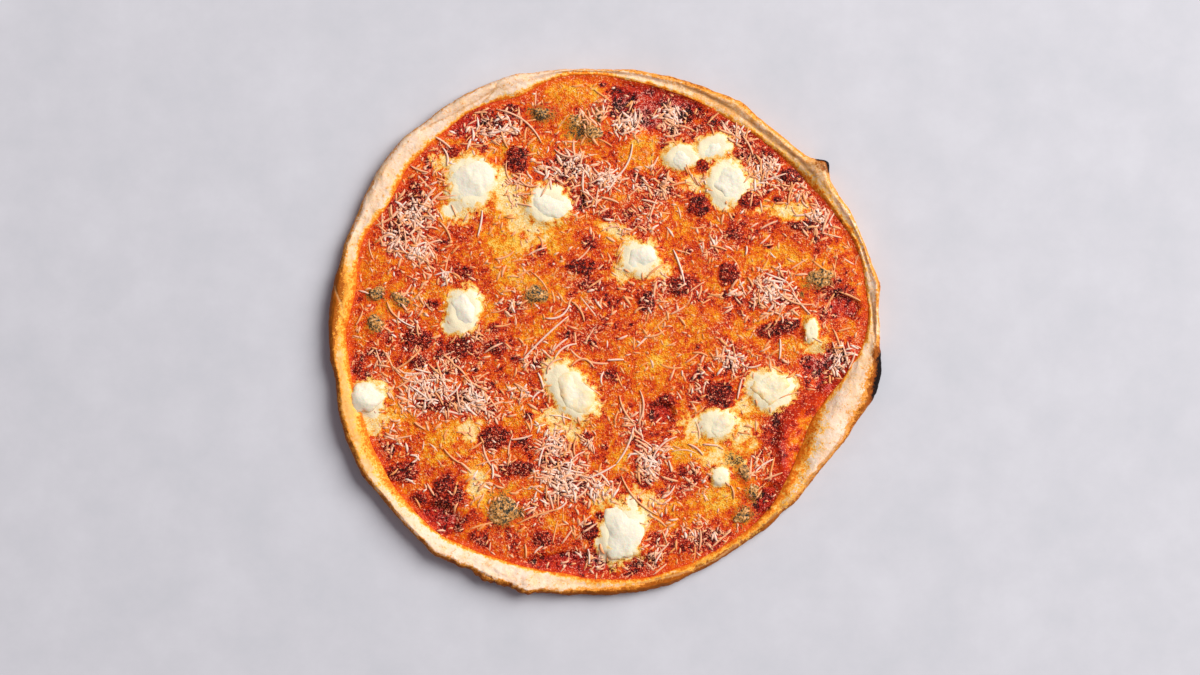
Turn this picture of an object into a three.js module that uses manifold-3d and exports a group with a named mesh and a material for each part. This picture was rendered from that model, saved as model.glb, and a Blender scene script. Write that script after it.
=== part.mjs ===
// A whole four cheese pizza, standing on its flat underside: a baked crust with an uneven raised rim, a layer
// of tomato sauce in it, a sheet of melted mozzarella with browned blisters and shreds of parmesan, lumps of
// goat cheese and crumbs of blue cheese. Millimetres and degrees, +Z up; angles run anticlockwise from +X.
import * as THREE from "three";
import { ParametricGeometry } from "three/addons/geometries/ParametricGeometry.js";
import { mergeVertices } from "three/addons/utils/BufferGeometryUtils.js";
import Module from "manifold-3d";

const wasm = await Module();
wasm.setup();

// ---- Driving dimensions -------------------------------------------------------------------------------------

const GAP = 0.3; // air between neighbouring pieces
const DOUGH_TOP = 4; // baked dough under the topping
const SAUCE_BOTTOM = DOUGH_TOP + GAP;
const SAUCE_TOP = 5.4;
const CHEESE_BOTTOM = SAUCE_TOP + GAP;
const CHEESE_RISE = 1.7; // thickness of the melted sheet where it is full
const INNER_LIP = 7.2; // height of the crust where the topping meets it

const RIM_STEP = 2.5; // degrees between the sections of the crust
const SHEET_STEP = 9; // mesh of the melted sheet
const MERGE = 1e-3; // vertices closer than this are one

// The rim every 10 degrees from +X: outer radius, radius where the topping starts, height of the crest.
const RIM_STATIONS = [
  [147.3, 140.5, 9.5], [149.5, 142, 10], [148, 142, 10], [146.5, 138, 10.5],
  [145, 134.5, 11.5], [142.5, 133.5, 10], [144, 133, 9.5], [143.5, 134, 9],
  [143, 135.5, 9], [142.8, 138.5, 8.5], [145, 140, 9], [148, 136.5, 10],
  [150, 140, 10.5], [151, 139, 10.5], [152, 139.5, 11], [150.5, 136.5, 10.5],
  [149.5, 140.5, 10], [149.5, 137.5, 11.5], [150.8, 140, 12], [149.2, 139.5, 12],
  [151.6, 139.5, 12.5], [152.8, 140.5, 12.5], [150.3, 141.5, 12], [151, 141, 12],
  [149.5, 136.5, 12], [146.5, 134, 11.5], [144, 132, 10.5], [142, 133, 9.5],
  [140.8, 134, 9], [139.2, 132, 9], [136.6, 131, 9], [136.3, 130.2, 9.5],
  [137, 125.5, 10.5], [138.3, 121.5, 11.5], [143.5, 121.5, 12], [150.6, 130.5, 11],
];

// Local swellings of the rim: angle, half width in degrees, how far they push out and up.
const RIM_SWELLS = [
  [37.8, 2.2, 5.6, 2.2],
  [10.5, 1.8, 0.6, 0.3],
  [232, 2, 1.4, 0.6],
  [252.5, 2.2, 2.8, 1.1],
  [318, 2.4, 0.7, 0.6],
];

// Places where the sauce lies bare: centre, half widths, tilt.
const BARE_PATCHES = [
  [27, 123, 26, 15, 0],
  [-75, 113, 11, 8, 0],
  [129, 14, 9, 6, 0],
  [119, -19, 13, 11, 0],
  [-12, -124, 32, 6, 0],
  [-90, -102, 11, 9, 0],
  [87, -91, 8, 10, 0],
  [-16.5, 71, 5, 5, 0],
  [30, -43, 6, 6, 0],
];

// Browned blisters of the mozzarella: centre, half widths, tilt.
const BLISTERS = [
  [-48.5, 93.5, 7, 7.5, 0], [101, 84.5, 7.5, 5, 0], [49.5, 68.5, 6, 6, 0],
  [77, 71.5, 6, 4, 0], [-110, 55, 6, 4, 0], [-104, 72, 5, 8, 0],
  [-102, -2.5, 8.5, 6, 0], [-78, -8, 7.5, 5, 0], [-59.5, -7.5, 6.5, 4, 0],
  [-102, -16, 5, 4.5, 0], [-92, -38, 10, 4, 0], [-14, 36, 8, 5, 0],
  [21.5, 17, 5, 6, 0], [40, 25.5, 7, 6, 0], [66, 31.5, 6, 6.5, 0],
  [92, 2.5, 13, 4.5, 15], [61, -33, 8.5, 7.5, 0], [-110.5, -75.5, 10, 5.5, 15],
  [-85.5, -87.5, 9.5, 10.5, 0], [-61, -56, 8, 7, 0], [-48, -73, 10, 4, 0],
  [-8.5, -107, 5, 6, 0], [-34.5, -111, 5.5, 4.5, 0], [107, 57.5, 10, 3, 0],
];
const BLISTER_RISE = 1.3;

// Goat cheese lumps: centre, half widths, tilt, height.
const GOAT_LUMPS = [
  [-72, 82, 12, 13, 0, 4.1],
  [-31, 69, 11, 9, 0, 3.9],
  [41, 95, 8, 6, 0, 3.5],
  [57.5, 100, 9, 5.5, 25, 3.4],
  [66, 81, 9.5, 10, 0, 4.1],
  [18.5, 40, 9.5, 8, 0, 3.9],
  [-77, 12, 7.5, 11, -15, 3.9],
  [-129.5, -35, 10, 7.5, 20, 5.4],
  [-18, -32, 15.5, 8.8, -57, 3.9],
  [88.5, -30, 9.5, 9.5, 0, 3.9],
  [60.5, -49.5, 8.5, 7, 0, 3.6],
  [8, -108, 10.5, 16, 8, 4.2],
  [110.5, 1.5, 3.5, 6, 0, 3.2],
  [61.5, -78, 4.2, 3.6, 0, 3.2],
];

const LARGE_LUMP = 7; // half width from which a lump gets the finer facets

// Blue cheese crumbs, the same way.
const BLUE_CRUMBS = [
  [-34.5, 118.5, 4.8, 3.8, 0, 3],
  [-17, 114.5, 5.2, 4.2, 20, 3.1],
  [-7.5, 108.5, 5, 4, -20, 2.9],
  [-38, 20.5, 7, 5, 10, 3.2],
  [-124, 21.5, 4.2, 3.2, 0, 3],
  [-111, 18, 5, 3.4, -40, 3],
  [-125, 5, 4.6, 4.6, 0, 3.1],
  [-55.5, -95.5, 7.5, 8, 0, 3.3],
  [74.5, -75, 4.4, 3.8, -50, 3],
  [79, -85, 3.6, 4.4, 0, 3],
  [73, -98.5, 5, 3.8, 40, 3],
  [115.5, 29.5, 7.5, 4.6, 25, 3.1],
];

// The longest shreds of parmesan: the two ends and the bow of the middle to the left of the run.
const LONG_SHREDS = [
  [-59.5, 120.5, -35, 102.5, 4], [-88.5, 100, -86, 90, 1.5], [-111, 85, -102, 72, -2],
  [-67, 66, -69.5, 52, 0.5], [14, 102, -1, 80, 4], [-18, 79, -7, 58, -2],
  [-28, 99, -12, 98, -3.5], [-123.5, 50, -111, 46, 5], [-115.5, 44, -95, 37, 2],
  [-129, -17, -135, -27, 0.5], [-100, -8, -115, -20, 1.5], [-101, -21.5, -114, -30, 0.5],
  [-66, -11, -56, -5.5, 0.5], [-45.5, -15, -20.5, 9, 0.8], [-20, 15, -33, 8, 3],
  [-29, -10, -21, -3, 0.5], [18, -31, 17, -49, 2.5], [7, -34, 15, -49, -1.5],
  [56, 47, 65, 44.5, 0.5], [76, 30, 79, 24.5, 0.5], [92, 23, 112, 15.5, -3],
  [100, 22, 110, 10, -0.5], [100, 37, 120, 29, -0.5], [-121, -82.5, -106, -74, 0.5],
  [-53, -91, -58, -117, 0.5], [-79, -110, -56, -120, 0.5], [14.5, -51, 5, -71, 1.5],
  [5, -71, -10, -78.5, 0.5], [38, -56, 24.5, -69, -2.5], [14.5, -63, 22, -69.5, 0.5],
  [8, -77, 28, -98.5, -3], [-48, -103, -25, -95, 1], [-44, -114, -43.5, -121.5, 0.4],
  [-34.5, -127, -26.5, -125, 0.3], [50.5, -106, 50, -117, 0.6], [33.5, -69, 35, -75, 0.3],
  [36, 45, 42, 27, 0.6], [-37, -21.5, -34, -30, 0.4], [120, -20, 128, -24, 0.6],
];

// Where the parmesan fell thickest: centre and radius.
const SHRED_DRIFTS = [
  [12, 113, 8], [35, 117, 7], [-104, 66, 11], [-100, 43, 8], [0, 83, 8],
  [-18, 90, 8], [-95, -33, 13], [-72, -35, 9], [-25, -79, 13], [-28, -60, 9],
  [-5, -85, 8], [90, 22, 12], [68, -15, 8], [85, 87, 9], [114, 61, 8],
  [125, -14, 8], [70, 112, 8], [24, -70, 9], [-56, 112, 9], [-112, 52, 8],
];
const SCATTERED_SHREDS = 44;
const SHRED_TRIES = 12; // places tried for each scattered shred; the emptiest one wins
const SHRED_LENGTHS = { longest: 12, shortest: 6.5 };
const SHRED = { width: 1.3, thickness: 1.1, proud: 0.55, piece: 12 };
const SHRED_SEED = 20417;

const COLOURS = {
  crust: 0xd9a860,
  tomato_sauce: 0xb8401c,
  melted_mozzarella: 0xe08a3c,
  goat_cheese: 0xf3efd9,
  blue_cheese: 0x8f8a4a,
};

// ---- Small helpers ------------------------------------------------------------------------------------------

const { lerp, smoothstep, degToRad, euclideanModulo } = THREE.MathUtils;

/** The solid that a closed three.js geometry bounds. */
function solidOf(geometry) {
  const bare = geometry.clone().deleteAttribute("normal").deleteAttribute("uv");
  const merged = mergeVertices(bare, MERGE);
  const corners = merged.index.array;
  const kept = [];
  for (let i = 0; i < corners.length; i += 3) {
    const [a, b, c] = corners.slice(i, i + 3);
    if (a !== b && b !== c && c !== a) kept.push(a, b, c);
  }
  return new wasm.Manifold(
    new wasm.Mesh({
      numProp: 3,
      vertProperties: merged.attributes.position.array,
      triVerts: new Uint32Array(kept),
    }),
  );
}

/** The geometry of a solid, with flat faces. */
function geometryOf(solid) {
  const { vertProperties, triVerts } = solid.getMesh();
  const geometry = new THREE.BufferGeometry();
  geometry.setAttribute("position", new THREE.BufferAttribute(vertProperties, 3));
  geometry.setIndex(new THREE.BufferAttribute(triVerts, 1));
  geometry.computeVertexNormals();
  return geometry;
}

/** The largest of the separate bodies of a solid. */
function largest(solid) {
  const bodies = solid.decompose();
  return bodies.reduce((best, body) => (body.volume() > best.volume() ? body : best));
}

/** Moves each vertex of a geometry to where the function puts it. */
function reshape(geometry, place) {
  const position = geometry.attributes.position;
  const vertex = new THREE.Vector3();
  for (let i = 0; i < position.count; i += 1) {
    place(vertex.fromBufferAttribute(position, i));
    position.setXYZ(i, vertex.x, vertex.y, vertex.z);
  }
  return geometry;
}

/** How far (x, y) is from the centre of a tilted ellipse, as a share of its radius there. */
function ellipseShare(x, y, [cx, cy, halfX, halfY, tilt]) {
  const turn = degToRad(tilt);
  const along = (x - cx) * Math.cos(turn) + (y - cy) * Math.sin(turn);
  const across = (y - cy) * Math.cos(turn) - (x - cx) * Math.sin(turn);
  return Math.hypot(along / halfX, across / halfY);
}

/** A repeatable stream of numbers from 0 to 1. */
function* draws(seed) {
  const MODULUS = 2 ** 31 - 1;
  const MULTIPLIER = 48271;
  let state = seed;
  while (true) {
    state = (state * MULTIPLIER) % MODULUS;
    yield state / MODULUS;
  }
}

// ---- Crust --------------------------------------------------------------------------------------------------

const rimCurve = new THREE.CatmullRomCurve3(
  RIM_STATIONS.map((station) => new THREE.Vector3(...station)),
  true,
  "catmullrom",
);

/** Outer radius, topping radius and crest height of the rim at an angle. */
function rimAt(degrees) {
  const turn = euclideanModulo(degrees, 360);
  const base = rimCurve.getPoint(turn / 360);
  const a = degToRad(turn);
  const ripple = 0.3 * Math.sin(13 * a + 1) + 0.22 * Math.sin(29 * a + 2.2) + 0.15 * Math.sin(43 * a + 0.6);
  const rim = { outer: base.x + ripple, inner: base.y - 0.8 * ripple, crest: base.z + ripple };
  for (const [at, half, out, up] of RIM_SWELLS) {
    const off = (euclideanModulo(turn - at + 180, 360) - 180) / half;
    rim.outer += out * Math.exp(-off * off);
    rim.crest += up * Math.exp(-off * off);
  }
  return rim;
}

/** One section of the crust from the middle of the underside to the middle of the top: radius, height. */
function crustSection({ outer, inner, crest: peak }) {
  const width = outer - inner;
  const plump = smoothstep(width, 14, 20); // the large bubble stands highest near the topping
  const crest = peak - 0.6 * (1 - plump);
  const shoulder = lerp(INNER_LIP, crest, lerp(0.42, 0.62, plump));
  return [
    [0, 0],
    [outer - 9, 0],
    [outer - 3.4, 1],
    [outer - 0.7, 3.2],
    [outer, 0.52 * crest],
    [outer - 0.4 - 0.06 * width, crest - lerp(1.7, 2.6, plump)],
    [outer - 0.5 - 0.17 * width, crest - lerp(0.4, 1.2, plump)],
    [outer - 0.34 * width, crest - 0.3 * plump],
    [outer - 0.58 * width, crest - lerp(1, 0, plump)],
    [outer - 0.82 * width, shoulder],
    [inner, INNER_LIP],
    [inner, DOUGH_TOP],
    [0, DOUGH_TOP],
  ];
}

/** A solid of revolution with a section that changes with the angle. */
function turned(sectionAt) {
  const steps = 360 / RIM_STEP;
  const sections = Array.from({ length: steps }, (_, i) => sectionAt(i * RIM_STEP));
  const rings = sections[0].length - 1;
  const surface = (u, v, target) => {
    const i = Math.round(u * steps) % steps;
    const [radius, height] = sections[i][Math.round(v * rings)];
    const a = degToRad(i * RIM_STEP);
    target.set(radius * Math.cos(a), radius * Math.sin(a), height);
  };
  return solidOf(new ParametricGeometry(surface, steps, rings));
}

function makeCrust() {
  return turned((degrees) => crustSection(rimAt(degrees)));
}

// ---- Tomato sauce -------------------------------------------------------------------------------------------

/** A flat disc that fills the crust to its inner wall, less the gap. */
function fillingDisc(bottom, top) {
  return turned((degrees) => {
    const radius = rimAt(degrees).inner - GAP;
    return [
      [0, bottom],
      [radius, bottom],
      [radius, top],
      [0, top],
    ];
  });
}

// ---- Melted mozzarella, its blisters and the parmesan on it ---------------------------------------------------

/** Slow waves that make the melted sheet uneven, from -1 to 1. */
function waves(x, y) {
  return 0.5 * Math.sin(x / 7.3 + 1.7 * Math.sin(y / 11.1)) + 0.5 * Math.sin(y / 6.1 + 1.9 * Math.sin(x / 9.7) + 2);
}

/** How much cheese lies at (x, y): 0 or less is none, about 1 is the full sheet. */
function cheeseAmount(x, y) {
  let amount = 0.86 + 0.14 * waves(x, y);
  for (const patch of BARE_PATCHES) {
    amount -= 1.25 * (1 - smoothstep(ellipseShare(x, y, patch) + 0.12 * waves(y, x), 0.7, 1.25));
  }
  const { inner } = rimAt(THREE.MathUtils.radToDeg(Math.atan2(y, x)));
  return amount - 0.35 * smoothstep(Math.hypot(x, y), inner - 7, inner);
}

function cheeseTop(x, y) {
  return CHEESE_BOTTOM + CHEESE_RISE * cheeseAmount(x, y);
}

/** A block with its top shaped as the cheese's surface, cut to the crust and to the underside of the sheet. */
function makeSheet() {
  const side = 2 * Math.max(...RIM_STATIONS.map(([, inner]) => inner)) + SHEET_STEP;
  const count = Math.ceil(side / SHEET_STEP);
  const depth = 4;
  const block = new THREE.BoxGeometry(side, side, depth, count, count, 1);
  reshape(block, (vertex) => {
    vertex.z = vertex.z > 0 ? cheeseTop(vertex.x, vertex.y) : CHEESE_BOTTOM - depth;
  });
  return largest(solidOf(block).intersect(fillingDisc(CHEESE_BOTTOM, CHEESE_BOTTOM + depth)));
}

function makeBlister([x, y, halfX, halfY, tilt]) {
  const dome = new THREE.SphereGeometry(1, 9, 4).rotateX(Math.PI / 2);
  const base = cheeseTop(x, y) - 0.35;
  const turn = degToRad(tilt);
  dome.scale(halfX, halfY, 1).rotateZ(turn);
  reshape(dome, (vertex) => {
    const ripple = 1 + 0.12 * waves(4 * (x + vertex.x), 4 * (y + vertex.y));
    vertex.x = x + vertex.x * ripple;
    vertex.y = y + vertex.y * ripple;
    vertex.z = Math.max(base + vertex.z * BLISTER_RISE * ripple, CHEESE_BOTTOM);
  });
  return solidOf(dome);
}

/** The length and heading of a shred, worked out from its ends. */
function shredRun([x0, y0, x1, y1]) {
  return { length: Math.hypot(x1 - x0, y1 - y0), heading: Math.atan2(y1 - y0, x1 - x0) };
}

/** A thin strip laid on the sheet along a bowed line. */
function makeShred(row) {
  const [x0, y0, x1, y1, bow] = row;
  const { length, heading } = shredRun(row);
  const middle = new THREE.Vector2(
    (x0 + x1) / 2 - 2 * bow * Math.sin(heading),
    (y0 + y1) / 2 + 2 * bow * Math.cos(heading),
  );
  const line = new THREE.QuadraticBezierCurve(new THREE.Vector2(x0, y0), middle, new THREE.Vector2(x1, y1));
  const pieces = Math.max(1, Math.round(length / SHRED.piece));
  const strip = new THREE.BoxGeometry(1, SHRED.width, SHRED.thickness, pieces, 1, 1);
  reshape(strip, (vertex) => {
    const t = vertex.x + 0.5;
    const point = line.getPoint(t);
    const tangent = line.getTangent(t);
    const top = Math.max(cheeseTop(point.x, point.y), CHEESE_BOTTOM) + SHRED.proud;
    const z = vertex.z > 0 ? top : Math.max(top - SHRED.thickness, CHEESE_BOTTOM);
    vertex.set(point.x - vertex.y * tangent.y, point.y + vertex.y * tangent.x, z);
  });
  return solidOf(strip);
}

/** Whether a shred keeps clear of every lump, crumb and of the crust. */
function shredIsClear([x0, y0, x1, y1]) {
  return [0, 0.25, 0.5, 0.75, 1].every((t) => {
    const x = lerp(x0, x1, t);
    const y = lerp(y0, y1, t);
    const away = [...GOAT_LUMPS, ...BLUE_CRUMBS].every((lump) => {
      const grown = [lump[0], lump[1], lump[2] + 2, lump[3] + 2, lump[4]];
      return ellipseShare(x, y, grown) > 1;
    });
    const { inner } = rimAt(THREE.MathUtils.radToDeg(Math.atan2(y, x)));
    return away && Math.hypot(x, y) < inner - 3 && cheeseAmount(x, y) > 0.3;
  });
}

/** Further shreds, longest first, each at the emptiest of several drawn places, more of them in the drifts. */
function scatterShreds() {
  const draw = draws(SHRED_SEED);
  const next = () => draw.next().value;
  const placed = LONG_SHREDS.map(([x0, y0, x1, y1]) => [(x0 + x1) / 2, (y0 + y1) / 2]);
  const rows = [];
  for (let n = 0; n < SCATTERED_SHREDS; n += 1) {
    const length = lerp(SHRED_LENGTHS.longest, SHRED_LENGTHS.shortest, n / SCATTERED_SHREDS);
    let best = null;
    for (let tried = 0; tried < SHRED_TRIES; tried += 1) {
      const spread = 150 * Math.sqrt(next());
      const bearing = 2 * Math.PI * next();
      const heading = Math.PI * next();
      const bow = lerp(-0.12, 0.12, next()) * length;
      const x = spread * Math.cos(bearing);
      const y = spread * Math.sin(bearing);
      const halfX = 0.5 * length * Math.cos(heading);
      const halfY = 0.5 * length * Math.sin(heading);
      const row = [x - halfX, y - halfY, x + halfX, y + halfY, bow];
      const nearest = Math.min(...placed.map(([px, py]) => Math.hypot(px - x, py - y)));
      const inDrift = SHRED_DRIFTS.some(([dx, dy, radius]) => Math.hypot(dx - x, dy - y) < 1.3 * radius);
      const room = nearest * (inDrift ? 2.5 : 1);
      if (shredIsClear(row) && room > (best ? best.room : 4)) best = { room, row, x, y };
    }
    if (best) {
      placed.push([best.x, best.y]);
      rows.push(best.row);
    }
  }
  return rows;
}

function makeMozzarella() {
  const shreds = [...LONG_SHREDS.filter(shredIsClear), ...scatterShreds()];
  const extras = [...BLISTERS.map(makeBlister), ...shreds.map(makeShred)];
  const whole = extras.reduce((sum, piece) => sum.add(piece), makeSheet());
  return largest(whole.intersect(fillingDisc(CHEESE_BOTTOM, CHEESE_BOTTOM + 8)));
}

// ---- Goat cheese lumps and blue cheese crumbs -----------------------------------------------------------------

/** How far the outline of a lump swells or shrinks from its ellipse, by bearing; each lump differs. */
function lumpOutline(bearing, index) {
  return (
    1 +
    0.09 * Math.sin(2 * bearing + 2.4 * index) +
    0.07 * Math.sin(3 * bearing + 1.3 * index) +
    0.04 * Math.sin(5 * bearing + 4.1 * index)
  );
}

/** A solid less another one and the gap above it. */
function laidOn(solid, under) {
  return solid.subtract(under).subtract(under.translate([0, 0, GAP]));
}

/** A broken lump with a flat base and a softened top, laid on what is under it with the gap. */
function makeLump([x, y, halfX, halfY, tilt, height], index, detail, under) {
  const ball = new THREE.IcosahedronGeometry(1, detail);
  ball.rotateX(0.3 + index);
  const turn = degToRad(tilt);
  reshape(ball, (vertex) => {
    const swell = lumpOutline(Math.atan2(vertex.y, vertex.x), index);
    const along = vertex.x * halfX * swell;
    const across = vertex.y * halfY * swell;
    const crumble = 1 + 0.14 * waves(2 * along + 9 * index, 2 * across);
    vertex.set(
      x + along * Math.cos(turn) - across * Math.sin(turn),
      y + along * Math.sin(turn) + across * Math.cos(turn),
      CHEESE_BOTTOM + Math.sqrt(Math.max(0, vertex.z)) * height * crumble,
    );
  });
  return largest(under.reduce(laidOn, solidOf(ball)));
}

// ---- The pizza ----------------------------------------------------------------------------------------------

const pizza = new THREE.Group();

function addPiece(name, solid, colour, roughness) {
  const material = new THREE.MeshStandardMaterial({ color: colour, roughness, metalness: 0 });
  const mesh = new THREE.Mesh(geometryOf(solid), material);
  mesh.name = name;
  pizza.add(mesh);
}

const crust = makeCrust();
const mozzarella = makeMozzarella();
addPiece("crust", crust, COLOURS.crust, 0.75);
addPiece("tomato_sauce", fillingDisc(SAUCE_BOTTOM, SAUCE_TOP), COLOURS.tomato_sauce, 0.35);
addPiece("melted_mozzarella", mozzarella, COLOURS.melted_mozzarella, 0.35);

const numbered = (stem, index) => `${stem}_${String(index + 1).padStart(2, "0")}`;
GOAT_LUMPS.forEach((row, index) => {
  const detail = row[2] > LARGE_LUMP ? 2 : 1;
  const lump = makeLump(row, index, detail, [mozzarella, crust]);
  addPiece(numbered("goat_cheese", index), lump, COLOURS.goat_cheese, 0.6);
});
BLUE_CRUMBS.forEach((row, index) => {
  const crumb = makeLump(row, index + GOAT_LUMPS.length, 1, [mozzarella, crust]);
  addPiece(numbered("blue_cheese", index), crumb, COLOURS.blue_cheese, 0.6);
});

// The frame's origin is under the middle of the bounding box.
const box = new THREE.Box3().setFromObject(pizza);
const centre = box.getCenter(new THREE.Vector3());
pizza.position.set(-centre.x, -centre.y, -box.min.z);

export default pizza;
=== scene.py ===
import logging
import math
from dataclasses import dataclass, field
from enum import Enum
from functools import partial
from typing import Any, Iterator, Sequence

import bmesh
import bpy
import numpy as np
from numpy.typing import NDArray
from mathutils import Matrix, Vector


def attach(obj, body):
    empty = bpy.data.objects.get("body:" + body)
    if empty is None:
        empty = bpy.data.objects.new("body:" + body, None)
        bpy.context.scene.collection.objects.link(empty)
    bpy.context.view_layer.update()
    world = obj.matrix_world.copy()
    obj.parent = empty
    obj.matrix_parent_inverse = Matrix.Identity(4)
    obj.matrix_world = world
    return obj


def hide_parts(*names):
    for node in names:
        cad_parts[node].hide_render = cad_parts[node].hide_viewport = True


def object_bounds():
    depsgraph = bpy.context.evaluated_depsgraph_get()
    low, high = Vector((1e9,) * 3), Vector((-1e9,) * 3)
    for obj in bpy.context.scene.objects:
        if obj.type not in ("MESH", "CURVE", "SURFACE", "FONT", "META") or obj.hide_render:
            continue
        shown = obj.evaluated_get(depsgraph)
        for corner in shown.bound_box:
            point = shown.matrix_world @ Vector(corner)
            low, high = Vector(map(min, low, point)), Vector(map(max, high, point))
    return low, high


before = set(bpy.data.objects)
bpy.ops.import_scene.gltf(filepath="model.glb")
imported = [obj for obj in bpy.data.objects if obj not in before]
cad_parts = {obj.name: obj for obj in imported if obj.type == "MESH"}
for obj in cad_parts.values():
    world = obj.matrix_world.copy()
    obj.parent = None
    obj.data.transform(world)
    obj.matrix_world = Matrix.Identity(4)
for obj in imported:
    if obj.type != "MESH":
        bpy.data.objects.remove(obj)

LOG = logging.getLogger("four_cheese_pizza")
Array = NDArray[np.float64]
Whole = NDArray[np.int64]
Row = tuple[float, ...]
Rows = tuple[Row, ...]
Object, Tree, Socket = bpy.types.Object, bpy.types.NodeTree, bpy.types.NodeSocket

CAD_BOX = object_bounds()
MM = 0.001  # one millimetre in metres

# Levels of the layers, in millimetres, as the solids have them.
DOUGH_TOP = 4.0
SAUCE_TOP = 5.4
CHEESE_BOTTOM = 5.7
CHEESE_RISE = 1.7
INNER_LIP = 7.2
GAP = 0.3

# The rim every 10 degrees from +X: outer radius, radius where the topping starts, height of the crest.
RIM_STATIONS: Rows = (
    (147.3, 140.5, 9.5), (149.5, 142, 10), (148, 142, 10), (146.5, 138, 10.5), (145, 134.5, 11.5),
    (142.5, 133.5, 10), (144, 133, 9.5), (143.5, 134, 9), (143, 135.5, 9), (142.8, 138.5, 8.5), (145, 140, 9),
    (148, 136.5, 10), (150, 140, 10.5), (151, 139, 10.5), (152, 139.5, 11), (150.5, 136.5, 10.5),
    (149.5, 140.5, 10), (149.5, 137.5, 11.5), (150.8, 140, 12), (149.2, 139.5, 12), (151.6, 139.5, 12.5),
    (152.8, 140.5, 12.5), (150.3, 141.5, 12), (151, 141, 12), (149.5, 136.5, 12), (146.5, 134, 11.5),
    (144, 132, 10.5), (142, 133, 9.5), (140.8, 134, 9), (139.2, 132, 9), (136.6, 131, 9), (136.3, 130.2, 9.5),
    (137, 125.5, 10.5), (138.3, 121.5, 11.5), (143.5, 121.5, 12), (150.6, 130.5, 11),
)

# Local swellings of the rim: angle, half width in degrees, how far they push out and up.
RIM_SWELLS: Rows = (
    (37.8, 2.2, 5.6, 2.2), (10.5, 1.8, 0.6, 0.3), (232, 2, 1.4, 0.6), (252.5, 2.2, 2.8, 1.1),
    (318, 2.4, 0.7, 0.6),
)

# Places where the sauce lies bare: centre, half widths, and the tilt in degrees where it isn't 0.
BARE_PATCHES: Rows = (
    (27, 123, 26, 15), (-75, 113, 11, 8), (129, 14, 9, 6), (119, -19, 13, 11), (-12, -124, 32, 6),
    (-90, -102, 11, 9), (87, -91, 8, 10), (-16.5, 71, 5, 5), (30, -43, 6, 6),
)

# Browned blisters with a dome in the solid, then the flat ones, the same way.
RAISED_BLISTERS: Rows = (
    (-48.5, 93.5, 7, 7.5), (101, 84.5, 7.5, 5), (49.5, 68.5, 6, 6), (77, 71.5, 6, 4), (-110, 55, 6, 4),
    (-104, 72, 5, 8), (-102, -2.5, 8.5, 6), (-78, -8, 7.5, 5), (-59.5, -7.5, 6.5, 4), (-102, -16, 5, 4.5),
    (-92, -38, 10, 4), (-14, 36, 8, 5), (21.5, 17, 5, 6), (40, 25.5, 7, 6), (66, 31.5, 6, 6.5),
    (92, 2.5, 13, 4.5, 15), (61, -33, 8.5, 7.5), (-110.5, -75.5, 10, 5.5, 15), (-85.5, -87.5, 9.5, 10.5),
    (-61, -56, 8, 7), (-48, -73, 10, 4), (-8.5, -107, 5, 6), (-34.5, -111, 5.5, 4.5), (107, 57.5, 10, 3),
)
FLAT_BLISTERS: Rows = (
    (-84, 97.5, 4.5, 3.3), (-66.8, 100.5, 2.5, 3.5), (-51, 120.5, 5, 3), (-116, 68.5, 1.5, 3),
    (-2, 134, 2.5, 2), (-20.5, 87, 4, 7), (-15, 93, 2.5, 3.5), (51.5, 90, 3.5, 3.5), (0, 63, 5, 3),
    (31, 83, 3, 4), (92.5, 71.5, 3, 2.5), (68.5, 53, 4, 3), (-75.5, 32, 4, 4), (-93.5, 15.5, 4.5, 3.5),
    (-60.5, 3, 4, 3), (-135, -18.5, 3, 4), (-70.5, -19.5, 2.5, 2.5), (-63, -28, 3, 2),
    (-35.5, 44.5, 3.5, 3.5), (-9.5, 49, 4, 5), (-9.5, 25.5, 7, 3), (44, 44, 2, 2), (-49, -14.5, 3, 2),
    (2, -23, 4, 4), (32.5, -37, 6, 3.5), (-7.5, -5.5, 2.5, 2), (49.5, -7.5, 1.5, 1.5), (-42, -45, 3, 3),
    (87, 47, 3, 2), (124, 21, 6, 3), (73, 10.5, 2, 2), (64, 20, 2.5, 2), (-100, -89, 5, 3.5),
    (-79.5, -105, 3, 3), (-72, -109, 2, 2), (-4, -98.5, 3, 2), (27, -110, 3, 3.5), (20.5, -79.5, 4.5, 5),
    (41.5, -75, 3, 3), (16.5, -91.5, 3, 2.5), (-10.5, -57, 3, 4), (54.5, -109, 3.5, 3.5), (-1, -61.5, 2, 2),
    (122, -20, 5, 4, 20), (87.2, -94.8, 2.4, 1.3, 30),
)
BLISTER_RISE = 1.3

# Goat cheese lumps: centre, half widths, tilt, height.
GOAT_LUMPS: Rows = (
    (-72, 82, 12, 13, 0, 4.1), (-31, 69, 11, 9, 0, 3.9), (41, 95, 8, 6, 0, 3.5), (57.5, 100, 9, 5.5, 25, 3.4),
    (66, 81, 9.5, 10, 0, 4.1), (18.5, 40, 9.5, 8, 0, 3.9), (-77, 12, 7.5, 11, -15, 3.9),
    (-129.5, -35, 10, 7.5, 20, 5.4), (-18, -32, 15.5, 8.8, -57, 3.9), (88.5, -30, 9.5, 9.5, 0, 3.9),
    (60.5, -49.5, 8.5, 7, 0, 3.6), (8, -108, 10.5, 16, 8, 4.2), (110.5, 1.5, 3.5, 6, 0, 3.2),
    (61.5, -78, 4.2, 3.6, 0, 3.2),
)

# The goat cheese lumps that melted furthest and went cream.
MELLOW_LUMPS = tuple(GOAT_LUMPS[n - 1] for n in (9, 10, 11, 13, 14))

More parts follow.
